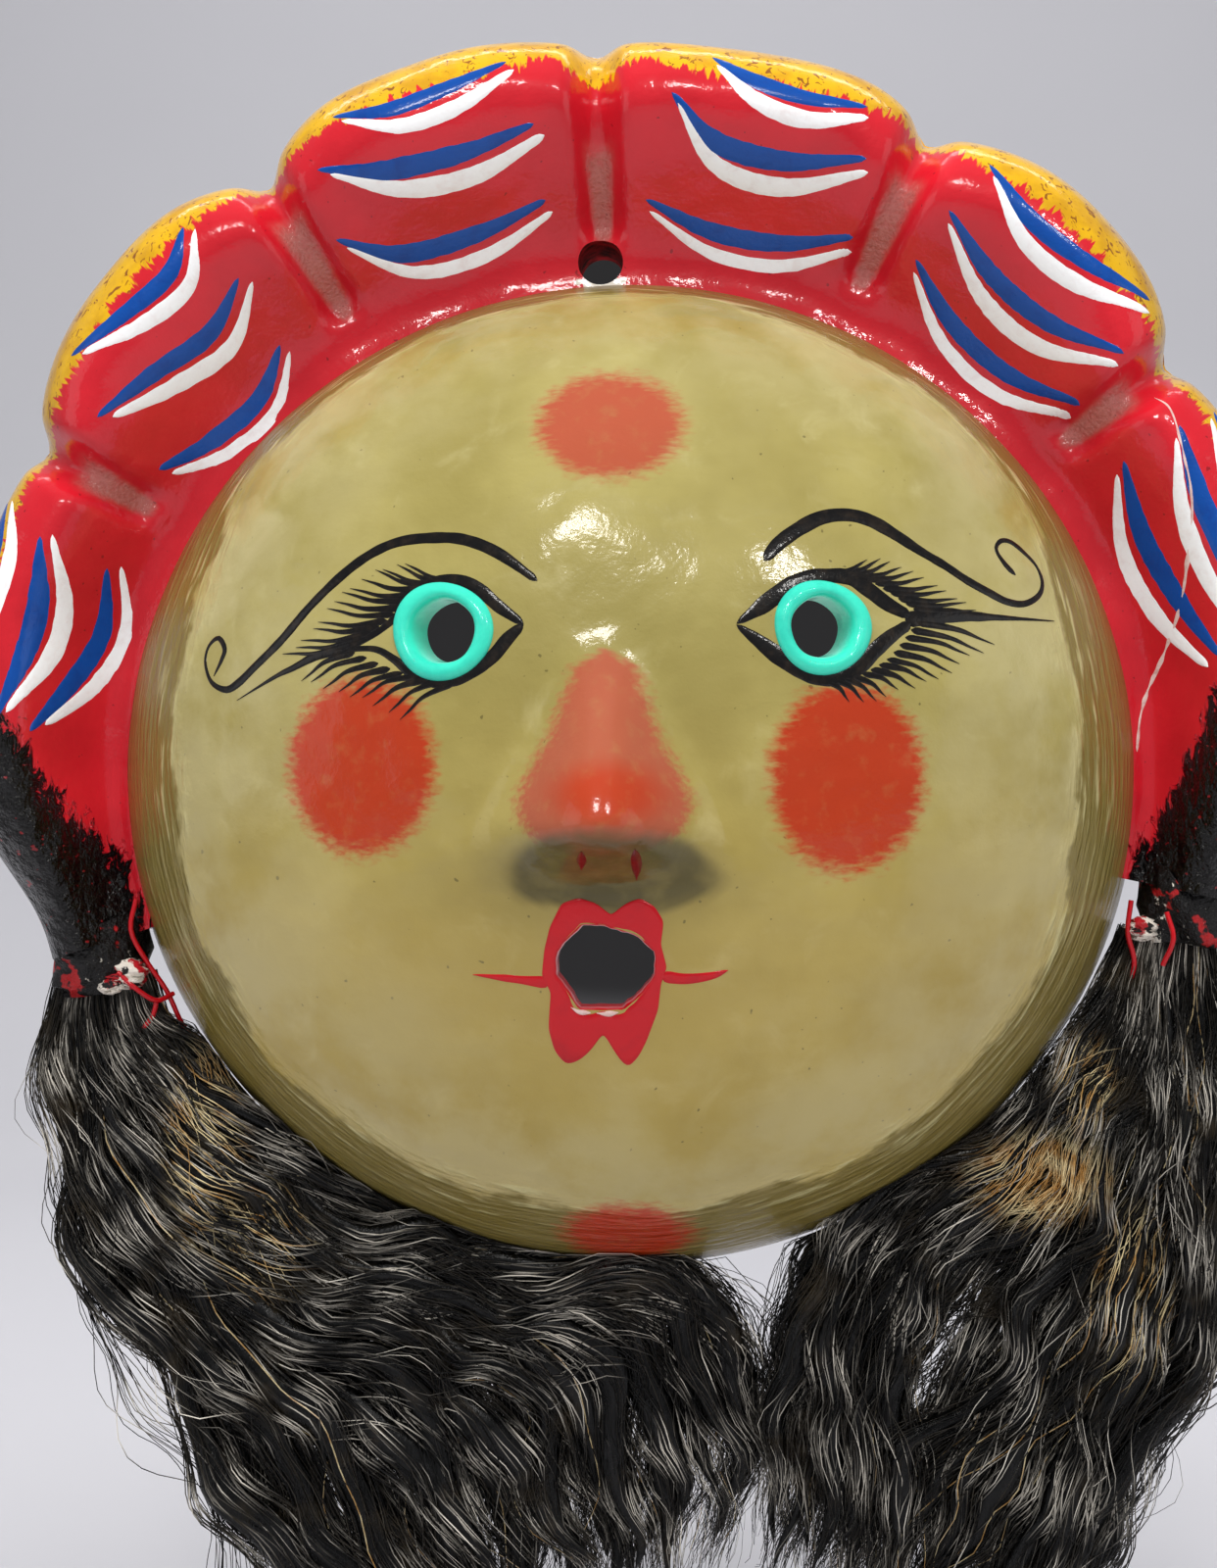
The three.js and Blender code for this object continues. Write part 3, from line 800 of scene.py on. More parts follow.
# Across a stroke: places from one edge to the other, and how thick the paint stands there.
STROKE_ACROSS = np.array([-1, -0.72, -0.3, 0.3, 0.72, 1])
STROKE_SECTION = np.array([-0.12, 0.75, 1, 1, 0.75, -0.12])
SLOPE_REACH = 0.2  # how far to each side the surface's slope is measured


def surface_normals(surface, x, z):
    """Outward directions of a surface, from how its depth changes to each side."""
    across = surface(x + SLOPE_REACH, z) - surface(x - SLOPE_REACH, z)
    up = surface(x, z + SLOPE_REACH) - surface(x, z - SLOPE_REACH)
    normal = np.stack([-across, np.full_like(across, -2 * SLOPE_REACH), -up], axis=-1)
    return normal / np.linalg.norm(normal, axis=-1, keepdims=True)


def one_stroke(line, surface, thickness, step, ragged, seed):
    """Points and quads of one raised stroke, which is a list of (x, z, width)."""
    rough = np.asarray(line, float)
    count = max(8, int(path_length(rough)[-1] / step))
    path = curve_through(rough, count)
    ahead = np.gradient(path[:, :2], axis=0)
    ahead /= np.linalg.norm(ahead, axis=1, keepdims=True) + 1e-9
    across = np.stack([-ahead[:, 1], ahead[:, 0]], axis=1)
    from_end = np.minimum(np.arange(count), np.arange(count)[::-1]) * step
    rounding = np.maximum(np.sqrt(np.clip(from_end, 0, 1)), 0.12)
    wander = 1 + ragged * ripple(path[:, 0] * 3, path[:, 1] * 3, 9, seed)
    half = np.maximum(path[:, 2] / 2, 0.05) * rounding * wander
    spots = path[:, None, :2] + across[:, None] * half[:, None, None] * STROKE_ACROSS[:, None]
    x, z = spots[..., 0], spots[..., 1]
    lift = (STROKE_SECTION * thickness * MM)[None, :, None]
    points = place(x, z, surface(x, z)) + surface_normals(surface, x, z) * lift
    return points.reshape(-1, 3), sheet_quads(count, len(STROKE_ACROSS))[:, ::-1]


def stroke(strokes, surface, name, material, thickness=0.16, step=0.7, ragged=0.05):
    """Raised strokes of paint on a surface, with slightly wandering edges."""
    made = [
        one_stroke(line, surface, thickness, step, ragged, 500 + number)
        for number, line in enumerate(strokes)
    ]
    return joined(name, made, material)


def moved_to(middle, lines):
    return [[(x + middle[0], z + middle[1], width) for x, z, width in line] for line in lines]


# The painted eyes, as strokes of (x, z, width) from the middle of each eye hole. Each fan of
# lashes is a count, the line they grow from, the line of their tips, and how they bow.
EYE_ART = {
    "left": {
        "brow": [
            (16.5, 8.5, 1.1), (9.5, 13.5, 1.8), (3.5, 16, 1.8), (-2, 16.5, 1.7), (-8, 16, 1.6),
            (-13, 14, 1.5), (-18, 10.5, 1.5), (-24, 5, 1.4), (-29.5, -1, 1.4), (-34.5, -5.5, 1.3),
            (-38, -8.5, 1.3), (-40.5, -9.5, 1.1), (-43.5, -8, 0.7), (-45, -4.5, 0.5),
            (-44.5, -1.5, 0.5), (-42.5, 0, 0.8), (-41, -2, 0.9), (-41.5, -4, 0.7), (-43, -7, 0.3),
        ],
        "lines": [
            [(14.2, 1, 1.2), (10, 4, 2.3), (6.5, 7, 2.5), (3, 8.7, 2.3), (-1, 8.7, 2.1), (-4, 7.2, 1.8),
             (-7, 4, 1.4), (-10, 1, 1.3), (-15, -2, 1.1), (-17.5, -3, 0.9)],
            [(14.2, 1, 1.2), (11.5, -1.5, 2.5), (9, -4.5, 2.4), (5.5, -7.2, 2.2), (1.5, -8.8, 2.2),
             (-2.5, -8.6, 2.1), (-6, -6.8, 1.9), (-8.5, -4.8, 1.5), (-12, -3, 1.2), (-17.5, -3, 0.9)],
            [(-16.5, -3, 1.4), (-22.5, -4, 1.6), (-27, -6, 1.2), (-30.5, -7.5, 0.8), (-38, -11.5, 0.1)],
        ],
        "fans": [
            (14, [(4, 8.2), (-3, 7.2), (-9, 2.5), (-15.5, -2)],
             [(-6.5, 12.5), (-13, 10.5), (-16, 8.5), (-19.5, 5.5), (-22.5, 2.5), (-24.5, -0.5), (-29, -3)],
             0.8),
            (9, [(-15.5, -3.5), (-7, -7.2), (2.5, -9)],
             [(-25.5, -8), (-19, -10), (-13.5, -12), (-7.5, -15.5)], -1.0),
        ],
    },
    "right": {
        "brow": [
            (-10, 11.5, 1.6), (-7.5, 14.5, 2.2), (-3.5, 17.5, 2.3), (0.5, 19.5, 2.2), (5, 20, 2.1),
            (9, 19, 2.1), (13.5, 16.5, 1.8), (17.5, 14, 1.5), (22, 11.5, 1.3), (26, 9, 1.3),
            (30, 7, 1.3), (33.5, 5.5, 1.2), (37, 5.3, 1.1), (40, 7, 0.9), (41, 9.5, 0.7),
            (40, 12.5, 0.5), (37.5, 15, 0.7), (35, 16.7, 0.8), (33, 16.7, 0.8), (32, 15, 0.6),
            (33.5, 12.5, 0.8), (35.5, 10.5, 1),
        ],
        "lines": [
            [(-14.8, 0.5, 0.8), (-10.5, 3.5, 2.9), (-7, 6.2, 3.1), (-3.5, 8.2, 3), (0.5, 9, 2.6),
             (5, 8.7, 2.9), (8.5, 6.4, 2.9), (11.5, 4.2, 2.6), (15.5, 2.2, 1.9)],
            [(-14.8, 0.3, 0.8), (-11, -2.5, 2.5), (-8, -4.8, 3.1), (-5, -6.8, 3.1), (-1.5, -8.7, 2.6),
             (2, -8.9, 2.5), (6, -7, 2.7), (9, -4, 2.9), (11.8, -1.5, 2.5), (15.5, 1, 2.1)],
            [(14.5, 1.5, 3.1), (21.5, 2.5, 2.9), (28, 2.5, 1.7), (35, 2.5, 0.8), (43, 2.5, 0.2)],
        ],
        "fans": [
            (11, [(1.5, 9), (7, 8.7), (11.5, 6.5), (16, 3.5)],
             [(8, 12.5), (14.5, 11), (17.5, 9.5), (19.5, 8.5), (22, 7), (23.5, 6), (25.5, 5.5), (28, 4)],
             -0.5),
            (13, [(16.5, 1.2), (14.5, -1.5), (11, -5.5), (6, -8.2), (0, -9)],
             [(30.5, -2.5), (29, -3.5), (26.5, -4.5), (25, -6), (21, -8.5), (18, -9.5), (15.5, -10.5),
              (12, -11.5), (10, -13), (4.5, -12.5)], 0.7),
        ],
    },
}
BROW_BOLDNESS = 1.18


def lashes(count, roots, tips, bow):
    """A fan of tapering lashes between two lines, each bowed a little."""
    fan = []
    for root, tip in zip(curve_through(roots, count), curve_through(tips, count)):
        tip = tip + rng.uniform(-0.5, 0.5, 2)
        across = np.array([root[1] - tip[1], tip[0] - root[0]])
        across /= np.linalg.norm(across) + 1e-9
        bend = (root + tip) / 2 + across * bow
        wide = rng.uniform(1.3, 1.7)
        fan.append([(*root, wide), (*bend, wide * 0.6), (*mix(bend, tip, 0.6), 0.5), (*tip, 0.18)])
    return fan


def eye_lines(side):
    art = EYE_ART[side]
    lines = [[(x, z, BROW_BOLDNESS * width) for x, z, width in art["brow"]], *art["lines"]]
    for fan in art["fans"]:
        lines += lashes(*fan)
    lines = moved_to(EYES[side], lines)
    return stroke(lines, face_depth, f"eye_lines_{side}", LINE_PAINT, thickness=0.13, step=0.6)


EYE_RIMS = {"left": (5.5, 8.8), "right": (5.2, 8.4)}  # radius of the bore and outside


def eye_rim(side):
    """A thick, slightly uneven ring of enamel that also lines the eye hole."""
    axis = np.array(eye_axis(side))
    bore, outer = EYE_RIMS[side]
    turn = once_round(120)
    uneven = 1 + 0.022 * np.sin(3 * turn + 1) + 0.018 * np.sin(2 * turn + 2.5)
    even = 1 + 0.012 * np.sin(5 * turn)
    profile = [
        (bore - 0.1, -6.6), (bore, -4), (bore, -1.6), (bore + 0.1, -0.5), (bore + 0.4, 0.4),
        (bore + 0.9, 0.9), (bore + 1.6, 1.05), (outer - 1.2, 0.95), (outer - 0.6, 0.75),
        (outer - 0.2, 0.4), (outer, -0.1), (outer - 0.3, -0.5),
    ]
    rows = []
    for out, lift in profile:
        radius = out * (uneven if out > bore + 1 else even)
        x = EYES[side][0] + radius * np.cos(turn)
        z = EYES[side][1] + radius * np.sin(turn)
        rows.append(place(x, z, face_depth(x, z)) + axis * lift * MM)
    return banded(f"eye_rim_{side}", rows, RIM_PAINT)


def lips():
    """A ring of red enamel that turns in over the whittled edge of the mouth."""
    turn = once_round(220)
    hole = around(MOUTH_OUTLINE, turn) * (0.98 + 0.02 * ripple(turn * 30, turn, 9, 21))
    edge = around(LIP_OUTLINE, turn)
    for _ in range(3):
        edge = 0.5 * edge + 0.25 * (np.roll(edge, 1) + np.roll(edge, -1))
    profile = [(0, -7), (0, -2.4), (0.02, -1.0), (0.06, -0.3), (0.14, 0.12)]
    profile += [(share, 0.2) for share in (0.3, 0.5, 0.7, 0.88, 0.97)] + [(1, -0.03)]
    rows = []
    for share, lift in profile:
        radius = mix(hole, edge, share)
        x, z = MOUTH[0] + radius * np.cos(turn), MOUTH[1] + radius * np.sin(turn)
        rows.append(place(x, z, face_depth(x, z) + lift))
    return banded("lips", rows, LIP_PAINT)


# Strokes round the mouth, from its middle.
WHISKERS = [
    [(-9.5, -2.8, 2.6), (-13, -2.5, 1.8), (-18, -2, 1.2), (-23, -1.5, 0.2)],
    [(9.5, -1.5, 2.4), (13.5, -2, 1.9), (18, -1.5, 1.5), (21, -0.5, 0.5)],
]
MOUTH_CHIPS = [
    [(-6, -7.0, 0.4), (-4.6, -7.9, 0.9), (-2.6, -8.0, 0.5)],
    [(-1.6, -8.0, 0.4), (0.4, -8.2, 1.0), (2.2, -7.9, 0.4)],
]
NOSE_DROPS = [
    [(-3.5, 20.3, 1.0), (-3.6, 18.6, 1.7), (-3.8, 17, 0.6)],
    [(5.4, 20.6, 1.2), (5.5, 18, 1.9), (5.4, 15.2, 0.4)],
]


def mouth_marks():
    """Whiskers, chips of bare ground under the mouth's hole, and runs of rouge under the nose."""
    whiskers, chips, runs = (moved_to(MOUTH, lines) for lines in (WHISKERS, MOUTH_CHIPS, NOSE_DROPS))
    return [
        stroke(whiskers, face_depth, "mouth_whiskers", LIP_PAINT),
        stroke(chips, face_depth, "mouth_chips", CRACK_PAINT, thickness=0.3, step=0.4, ragged=0.4),
        stroke(runs, face_depth, "nose_runs", RUN_PAINT, thickness=0.25, step=0.4),
    ]


# ---- The headdress ---------------------------------------------------------------------

CROWN_FROM, CROWN_TO = -12.0, 198.0
GROOVES = [37.0, 64.5, 92.5, 121.5, 151.0]
TOP_NOTCH = GROOVES[2]
LOW_PLACE = 81.0  # the lobe right of the top is pressed lower here
CROWN_RADIUS, DROOP, END_RADIUS, SCALLOP = 142.5, 22.0, 117.0, 7.0
VALLEY, CREST, END_CREST, ROLL, END_ROLL, EDGE = 16.0, 33.0, 24.0, 14.0, 8.0, 10.0
HORN_LENGTH = 16.0
GROOVE_DEPTH, GROOVE_HALF = 5.0, 3.9
ARC_RADIUS = 130.0  # where the bristle marks of the rim's yellow are spaced truly


def dome_radius(angle, depth=0.0):
    rim = 1 / np.hypot(np.cos(angle) / HALF_WIDTH, np.sin(angle) / HALF_HEIGHT)
    return rim * (1 - (depth / DEPTH) ** 2) ** (1 / DOME_POWER)


def polar(x, z):
    """Degrees up from the right and round to below the left, and the radius."""
    degrees = np.degrees(np.arctan2(z, x))
    return np.where(degrees < -90, degrees + 360, degrees), np.hypot(x, z)


def lobe_at(degrees):
    """1 at the middle of a lobe, 0 at the notch between two."""
    stops = np.array([CROWN_FROM - 8, *GROOVES, CROWN_TO + 8])
    i = np.clip(np.searchsorted(stops, degrees), 1, len(stops) - 1)
    share = (degrees - stops[i - 1]) / (stops[i] - stops[i - 1])
    return 1 - np.abs(2 * share - 1) ** 3


def horn_at(degrees):
    """1 at either end of the headdress, 0 from where its lobes begin."""
    return 1 - smooth(np.minimum(degrees - CROWN_FROM, CROWN_TO - degrees), 0, HORN_LENGTH)


def from_groove(degrees, radius):
    return np.min([np.abs(degrees - groove) for groove in GROOVES], axis=0) * DEG * radius


def crown_radius(degrees):
    """The outline: a drooping arc with a notch between lobes, shallow at the top."""
    middle, half = (CROWN_FROM + CROWN_TO) / 2, (CROWN_TO - CROWN_FROM) / 2
    notch = SCALLOP * (1 - lobe_at(degrees)) * (1 - 0.42 * hump(degrees, TOP_NOTCH, 8))
    rim = CROWN_RADIUS - DROOP * (np.abs(degrees - middle) / half) ** 2 - notch
    rim = rim - 2.4 * hump(degrees, LOW_PLACE, 9)
    return mix(rim, END_RADIUS, horn_at(degrees)) + 0.5 * ripple(degrees, degrees * 0, 13, 31)


def groove_at(degrees, radius):
    """How deep in a groove a place is, from 0 to 1."""
    start = dome_radius(degrees * DEG, VALLEY)
    pressed = smooth(radius, start + 6, start + 12) * (1 - horn_at(degrees))
    return np.exp(-((from_groove(degrees, radius) / GROOVE_HALF) ** 2.8)) * pressed


def crown_depth_polar(degrees, radius):
    horn = horn_at(degrees)
    rim = crown_radius(degrees)
    roll = mix(ROLL, END_ROLL, horn)
    top = mix(CREST - 3 * (1 - lobe_at(degrees)), END_CREST, horn)
    start = dome_radius(degrees * DEG, VALLEY)
    crest = rim - roll
    depth = mix(VALLEY, top, smooth(radius, start + 3, crest))
    over = np.clip((radius - crest) / roll, 0, 1)
    rolled = EDGE + (depth - EDGE) * np.sqrt(1 - over**2)
    uneven = 0.35 * ripple(degrees * 2, radius, 24, 32) * smooth(rim - radius, 0, 8)
    fillet = 0.7 * np.clip(1 - (radius - start) / 2.2, 0, 1) ** 2
    return np.maximum(EDGE, rolled - GROOVE_DEPTH * groove_at(degrees, radius) + uneven + fillet)


def crown_depth(x, z):
    return crown_depth_polar(*polar(x, z))


def crown_rows(degrees):
    """(radius, depth) of each row of the closed section: over the front, then round the back."""
    angle = degrees * DEG
    rim = crown_radius(degrees)
    start = dome_radius(angle, VALLEY) - 0.8
    rows = []
    for share in 1 - (1 - np.linspace(0, 1, 44)) ** 1.5:
        radius = mix(start, rim, share)
        rows.append((radius, crown_depth_polar(degrees, radius)))
    rows += [(rim - cut, depth) for cut, depth in ((0.1, 7.0), (0.5, 3.0), (1.4, 0.9), (3, 0.05))]
    for share in (0.3, 0.6, 0.97):
        radius = mix(rim - 3, dome_radius(angle) + 0.4, share)
        rows.append((radius, 0.05 + 0.25 * share * (1 - share) * ripple(degrees, radius, 9, 33)))
    return rows + [(dome_radius(angle, depth) - 0.2, depth) for depth in (4.0, 10.0)]


def crown_piece():
    degrees = np.linspace(CROWN_FROM, CROWN_TO, 560)
    angle = degrees * DEG
    rows = crown_rows(degrees)
    points = np.stack([place(r * np.cos(angle), r * np.sin(angle), depth) for r, depth in rows])
    quads = sheet_quads(len(rows), len(degrees), wrap_rows=True)[:, ::-1]
    paints = (CROWN_PAINT, BARE_WOOD, HOLE_PAINT)
    piece = new_mesh("headdress_paint", points.reshape(-1, 3), quads, *paints)
    close_mesh(piece.data)
    cut_out(piece, [round_cutter(HOLE, HOLE_RADIUS, STRAIGHT_AHEAD)])
    x, z, depth = points_of(piece)
    degrees, radius = polar(x, z)
    by_face = radius < dome_radius(degrees * DEG, np.clip(depth, 0, 15)) + 1.2
    bare = faces_within(piece, (depth < 0.6) | ((depth < 12) & by_face))
    in_hole = faces_within(piece, np.hypot(x - HOLE[0], z - HOLE[1]) < HOLE_RADIUS + 0.05)
    set_materials(piece, np.where(in_hole, paints.index(HOLE_PAINT), bare), sharp_degrees=50)
    put_attribute(piece, "chip_mm", chip_share(x, z))
    put_crown_marks(piece, degrees, radius, depth)
    return piece


def put_crown_marks(piece, degrees, radius, depth):
    """Where the crown's yellow, its black ends and its worn grooves are, for its paint."""
    from_rim = crown_radius(degrees) - radius - np.maximum(EDGE - depth, 0)
    wide = mix(4.5, 11.0, lobe_at(degrees) ** 1.5)
    wide = np.maximum(wide, 10 * hump(degrees, TOP_NOTCH, 7))
    put_attribute(piece, "arc_mm", degrees * DEG * ARC_RADIUS)
    put_attribute(piece, "rim_mm", from_rim)
    put_attribute(piece, "yellow_mm", wide - from_rim)
    put_attribute(piece, "groove", rubbed_share(degrees, radius, from_rim))
    left = degrees - mix(190.0, 175.0, smooth(radius, 96, 118))
    right = mix(-10.0, 8.0, smooth(radius, 95, 112)) - degrees
    from_face = radius - dome_radius(degrees * DEG, np.clip(depth, 0, DEPTH - 1))
    black = np.minimum(np.maximum(left, right) * DEG * radius, 2 * (from_face - 1.5))
    put_attribute(piece, "black_mm", black)


def rubbed_share(degrees, radius, from_rim):
    """How much of the red is rubbed off a groove's bottom, in a patch that widens outwards."""
    start = dome_radius(degrees * DEG, VALLEY) + 6
    end = crown_radius(degrees) - 8
    half = mix(1.5, GROOVE_HALF, np.clip((radius - start) / (end - start), 0, 1))
    outer_end = 9 + 9 * hump(degrees, TOP_NOTCH, 8)
    rubbed = np.exp(-((from_groove(degrees, radius) / half) ** 3)) * smooth(radius, start, start + 4)
    return rubbed * smooth(from_rim, outer_end, outer_end + 7) * (1 - horn_at(degrees))


# The blue strokes as (degrees, radius) at their start, middle and end: three to a lobe.
LOBE_STROKES = [
    [(129, 130), (134, 124), (143, 129)],
    [(128, 117), (134, 113.5), (146, 118)],
    [(129, 105), (137, 100), (147, 106)],
    [(114, 133), (108, 129), (99.5, 133)],
    [(117, 125), (109, 118.5), (98, 121)],
    [(118.5, 113.5), (110.5, 105.5), (98, 109)],
    [(83, 133), (77, 127.5), (70, 130)],
    [(86, 125), (79.5, 115.5), (68.5, 121)],
    [(88, 108), (77.5, 103), (67, 109)],
    [(59, 130), (51, 124), (42, 130)],
    [(60, 119), (50, 113), (40, 119)],
    [(60.5, 110), (50, 103), (39, 109)],
    [(156.5, 128.5), (162, 124.5), (170, 125.5)],
    [(158, 117), (166.5, 113), (175, 117)],
    [(158.5, 106), (167, 104), (176, 111)],
    [(31.5, 128), (24, 124.5), (14, 122)],
    [(32, 119.5), (24, 116), (13, 117)],
    [(32, 109), (22, 106), (11, 111)],
]
# The white strokes are this much nearer the face than the blue, and shifted along by this much.
WHITE_INSIDE = 3.3 * np.array([0.55, 1.1, 1.15, 0.6])
WHITE_SHIFT = -0.6
BLUE_WIDTHS = (0.8, 3.1, 2.9, 1.0)
WHITE_WIDTHS = (0.8, 2.6, 2.8, 1.2)
CRACK = [
    (97.5, 69, 0.3), (100, 66, 0.5), (102, 58, 0.5), (103.5, 50, 0.45), (103.5, 41, 0.5),
    (103, 31, 0.5), (101, 22, 0.6), (98.5, 15, 0.6), (97.2, 10, 0.6), (96.6, 4, 0.5),
]


def lobe_lines(inside, shift, widths):
    """Strokes on all the lobes, moved in towards the face and along by a shift."""
    lines = []
    for marks in LOBE_STROKES:
        path = curve_through(marks, len(widths))
        turns = (path[:, 0] + shift * rng.uniform(0.6, 1.4)) * DEG
        radii = path[:, 1] - inside
        grow = rng.uniform(0.9, 1.12)
        places = zip(turns, radii, widths)
        lines.append([(r * math.cos(turn), r * math.sin(turn), w * grow) for turn, r, w in places])
    return lines


def crown_strokes():
    blue = lobe_lines(0, 0, BLUE_WIDTHS)
    white = lobe_lines(WHITE_INSIDE, WHITE_SHIFT, WHITE_WIDTHS)
    return [
        stroke(blue, crown_depth, "blue_strokes", BLUE_PAINT, thickness=0.09),
        stroke(white, crown_depth, "white_strokes", WHITE_PAINT, thickness=0.1),
        stroke([CRACK], crown_depth, "crack", CRACK_PAINT, thickness=0.08, step=0.5, ragged=0.5),
    ]


# ---- The hair --------------------------------------------------------------------------

HAIR_DEPTH = 13.0
LEAST_DEPTH = 0.6  # the hair stays this far in front of the wall
# Each hank: its two edges, the headdress's angle where it starts, the paste's foot above its
# hinge, partings as (share across, start, end, size) and undyed patches as (x, z, half-width,
# half-height, share of the fibres).
LOCKS = {
    "left": {
        "outer": [
            (-108.5, -39), (-111, -48), (-112, -57), (-109.5, -70), (-106, -87), (-98, -102),
            (-88, -118), (-76, -135), (-66, -155), (-50, -188),
        ],
        "inner": [
            (-92.5, -39), (-88.5, -49), (-78.5, -56.5), (-69, -66), (-57.5, -75.5), (-42, -84.5),
            (-23.5, -90), (-4, -92.5), (11, -95), (22, -108), (26, -130), (20, -156),
        ],
        "horn": CROWN_TO,
        "foot": 11.0,
        "partings": [(0.3, 0.55, 0.8, 0.03), (0.72, 0.62, 0.9, 0.03)],
        "gold": [(-80, -71, 8, 19, 0.4), (-69, -88, 9, 12, 0.2)],
    },
    "right": {
        "outer": [
            (115, -29), (116.5, -41.5), (118, -62), (115, -84), (109, -104), (102, -121), (92, -140),
            (79, -162), (58, -190),
        ],
        "inner": [
            (95.5, -30), (90.5, -41.5), (84.5, -52), (74.5, -62.5), (62, -72.5), (47.5, -83), (37, -95.5),
            (30.5, -114), (27, -134), (25, -152),
        ],
        "horn": CROWN_FROM,
        "foot": 9.0,
        "partings": [(0.6, 0.36, 0.72, 0.085), (0.25, 0.6, 0.9, 0.03), (0.85, 0.3, 0.5, 0.04)],
        "gold": [(77, -76, 14, 9, 0.8), (95, -98, 7, 17, 0.3), (86, -58, 6, 9, 0.35)],
    },
}
LAYERS = 3
LOCKS_ACROSS = 4
HAIR_STEPS = 47
CORE_SIDES = 12
CORE_SIZE = 0.58  # a lock's dark core, as a share of the lock
CORE_TONE = 0.08
FOLD = 17.0  # the fibres' fine crimp
# The parts of a hank: the share of it each takes, seeds for left and right, fibres to a lock,
# the share of them that stray, and how thick and how dark they are.
TRESS = {"each": 52, "stray": 0.08, "thick": 1.0, "dark": 1.5}
HAIR = {
    "outer": {"across": (0.0, 0.38), "seeds": (100, 110), **TRESS},
    "middle": {"across": (0.33, 0.7), "seeds": (101, 111), **TRESS},
    "chin": {"across": (0.65, 1.0), "seeds": (102, 112), **TRESS},
    "loose": {
        "across": (0.02, 0.98), "seeds": (200, 201), "each": 38, "stray": 0.7, "thick": 0.75, "dark": 1.2,
    },
}


def along_lock(lock, along, share):
    """Places, directions across, lengths in millimetres and widths inside a hank of hair."""
    steps = 80
    outer = curve_through(lock["outer"], steps)
    inner = curve_through(lock["inner"], steps)
    where = np.clip(along, 0, 1) * (steps - 1)
    i = np.minimum(where.astype(int), steps - 2)
    f = (where - i)[..., None]
    outer_at, inner_at = (mix(edge[i], edge[i + 1], f) for edge in (outer, inner))
    ahead = mix(outer[i + 1] - outer[i], inner[i + 1] - inner[i], share[..., None])
    ahead /= np.linalg.norm(ahead, axis=-1, keepdims=True) + 1e-9
    across = np.stack([-ahead[..., 1], ahead[..., 0]], axis=-1)
    length = along * mix(path_length(outer)[-1], path_length(inner)[-1], share)
    wide = np.linalg.norm(outer_at - inner_at, axis=-1)
    return mix(outer_at, inner_at, share[..., None]), across, length, wide


def outside_face(at, depth):
    """Places moved straight out from the middle of the face until they clear its flank."""
    radius = np.hypot(at[..., 0], at[..., 1])
    angle = np.arctan2(at[..., 1], at[..., 0])
    clear = dome_radius(angle, np.clip(depth, 0, DEPTH - 1)) + 0.5
    at = at * (np.maximum(radius, clear) / radius)[..., None]
    return place(at[..., 0], at[..., 1], np.maximum(depth, LEAST_DEPTH))


def part(side, along, share):
    """Shares across a hank, pushed away from the partings that open part of the way down."""
    for middle, start, end, size in LOCKS[side]["partings"]:
        opened = np.sin(math.pi * np.clip((along - start) / (end - start), 0, 1)) ** 0.7
        away = share - middle
        share = share + size * opened * np.tanh(away / 0.02) * (1 - np.abs(away))
    return share


def bundle_places(side, across_hank, locks, along, turn, out):
    """Places on the skin of wavy locks: a lock is a flattened, slowly twisting bundle."""
    low, high = across_hank
    phase = locks["phase"]
    at, across, length, wide = along_lock(LOCKS[side], along, part(side, along, locks["share"]))
    sway = locks["sway"] * smooth(length, 4, 34)
    wave = sway * np.sin(TURN * length / locks["wave"] + phase)
    short_wave = TURN * length / (0.41 * locks["wave"]) + 2 * phase
    wave = wave + 0.55 * smooth(length, 4, 34) * np.sin(short_wave)
    curl = 0.55 * sway * np.cos(TURN * length / locks["wave"] + phase)
    half = wide * (high - low) / LOCKS_ACROSS * 0.56 + 0.5
    half = half * (1 + 0.22 * np.sin(TURN * length / 47 + 3 * phase))
    half = half * mix(1, 0.55, smooth(along, 0.72, 1))
    thick = np.clip(0.8 * half, 1.1, 3.2)
    angle = turn + locks["twist"] * length
    at = at + across * (wave + half * out * np.cos(angle))[..., None]
    spread = mix(1.9, 3.6, smooth(length, 5, 40)) * mix(1, 0.5, smooth(along, 0.65, 1))
    depth = HAIR_DEPTH + 3 * smooth(length, 5, 50) * (1 - smooth(along, 0.6, 1))
    depth = depth + spread * locks["layer"] + curl + thick * out * np.sin(angle)
    return at, across, depth, length


def pick_locks(across_hank, luck):
    """The place, layer and wave of each lock in a tress."""
    low, high = across_hank
    count = LAYERS * LOCKS_ACROSS
    number = np.arange(count)
    layer = number % LAYERS
    slot = (number // LAYERS + 0.5 + luck.uniform(-0.3, 0.3, count)) / LOCKS_ACROSS
    share = low + (high - low) * slot
    return {
        "share": np.clip(share, low + 0.02, high - 0.02),
        "layer": layer - 1 + luck.uniform(-0.25, 0.25, count),
        "sway": luck.uniform(1.2, 3.4, count),
        "wave": luck.uniform(34, 58, count),
        "phase": share * 11 + luck.uniform(-1.3, 1.3, count) + 1.6 * layer,
        "twist": luck.uniform(-0.035, 0.035, count),
        "reach": luck.uniform(0.86, 1.0, count),
    }


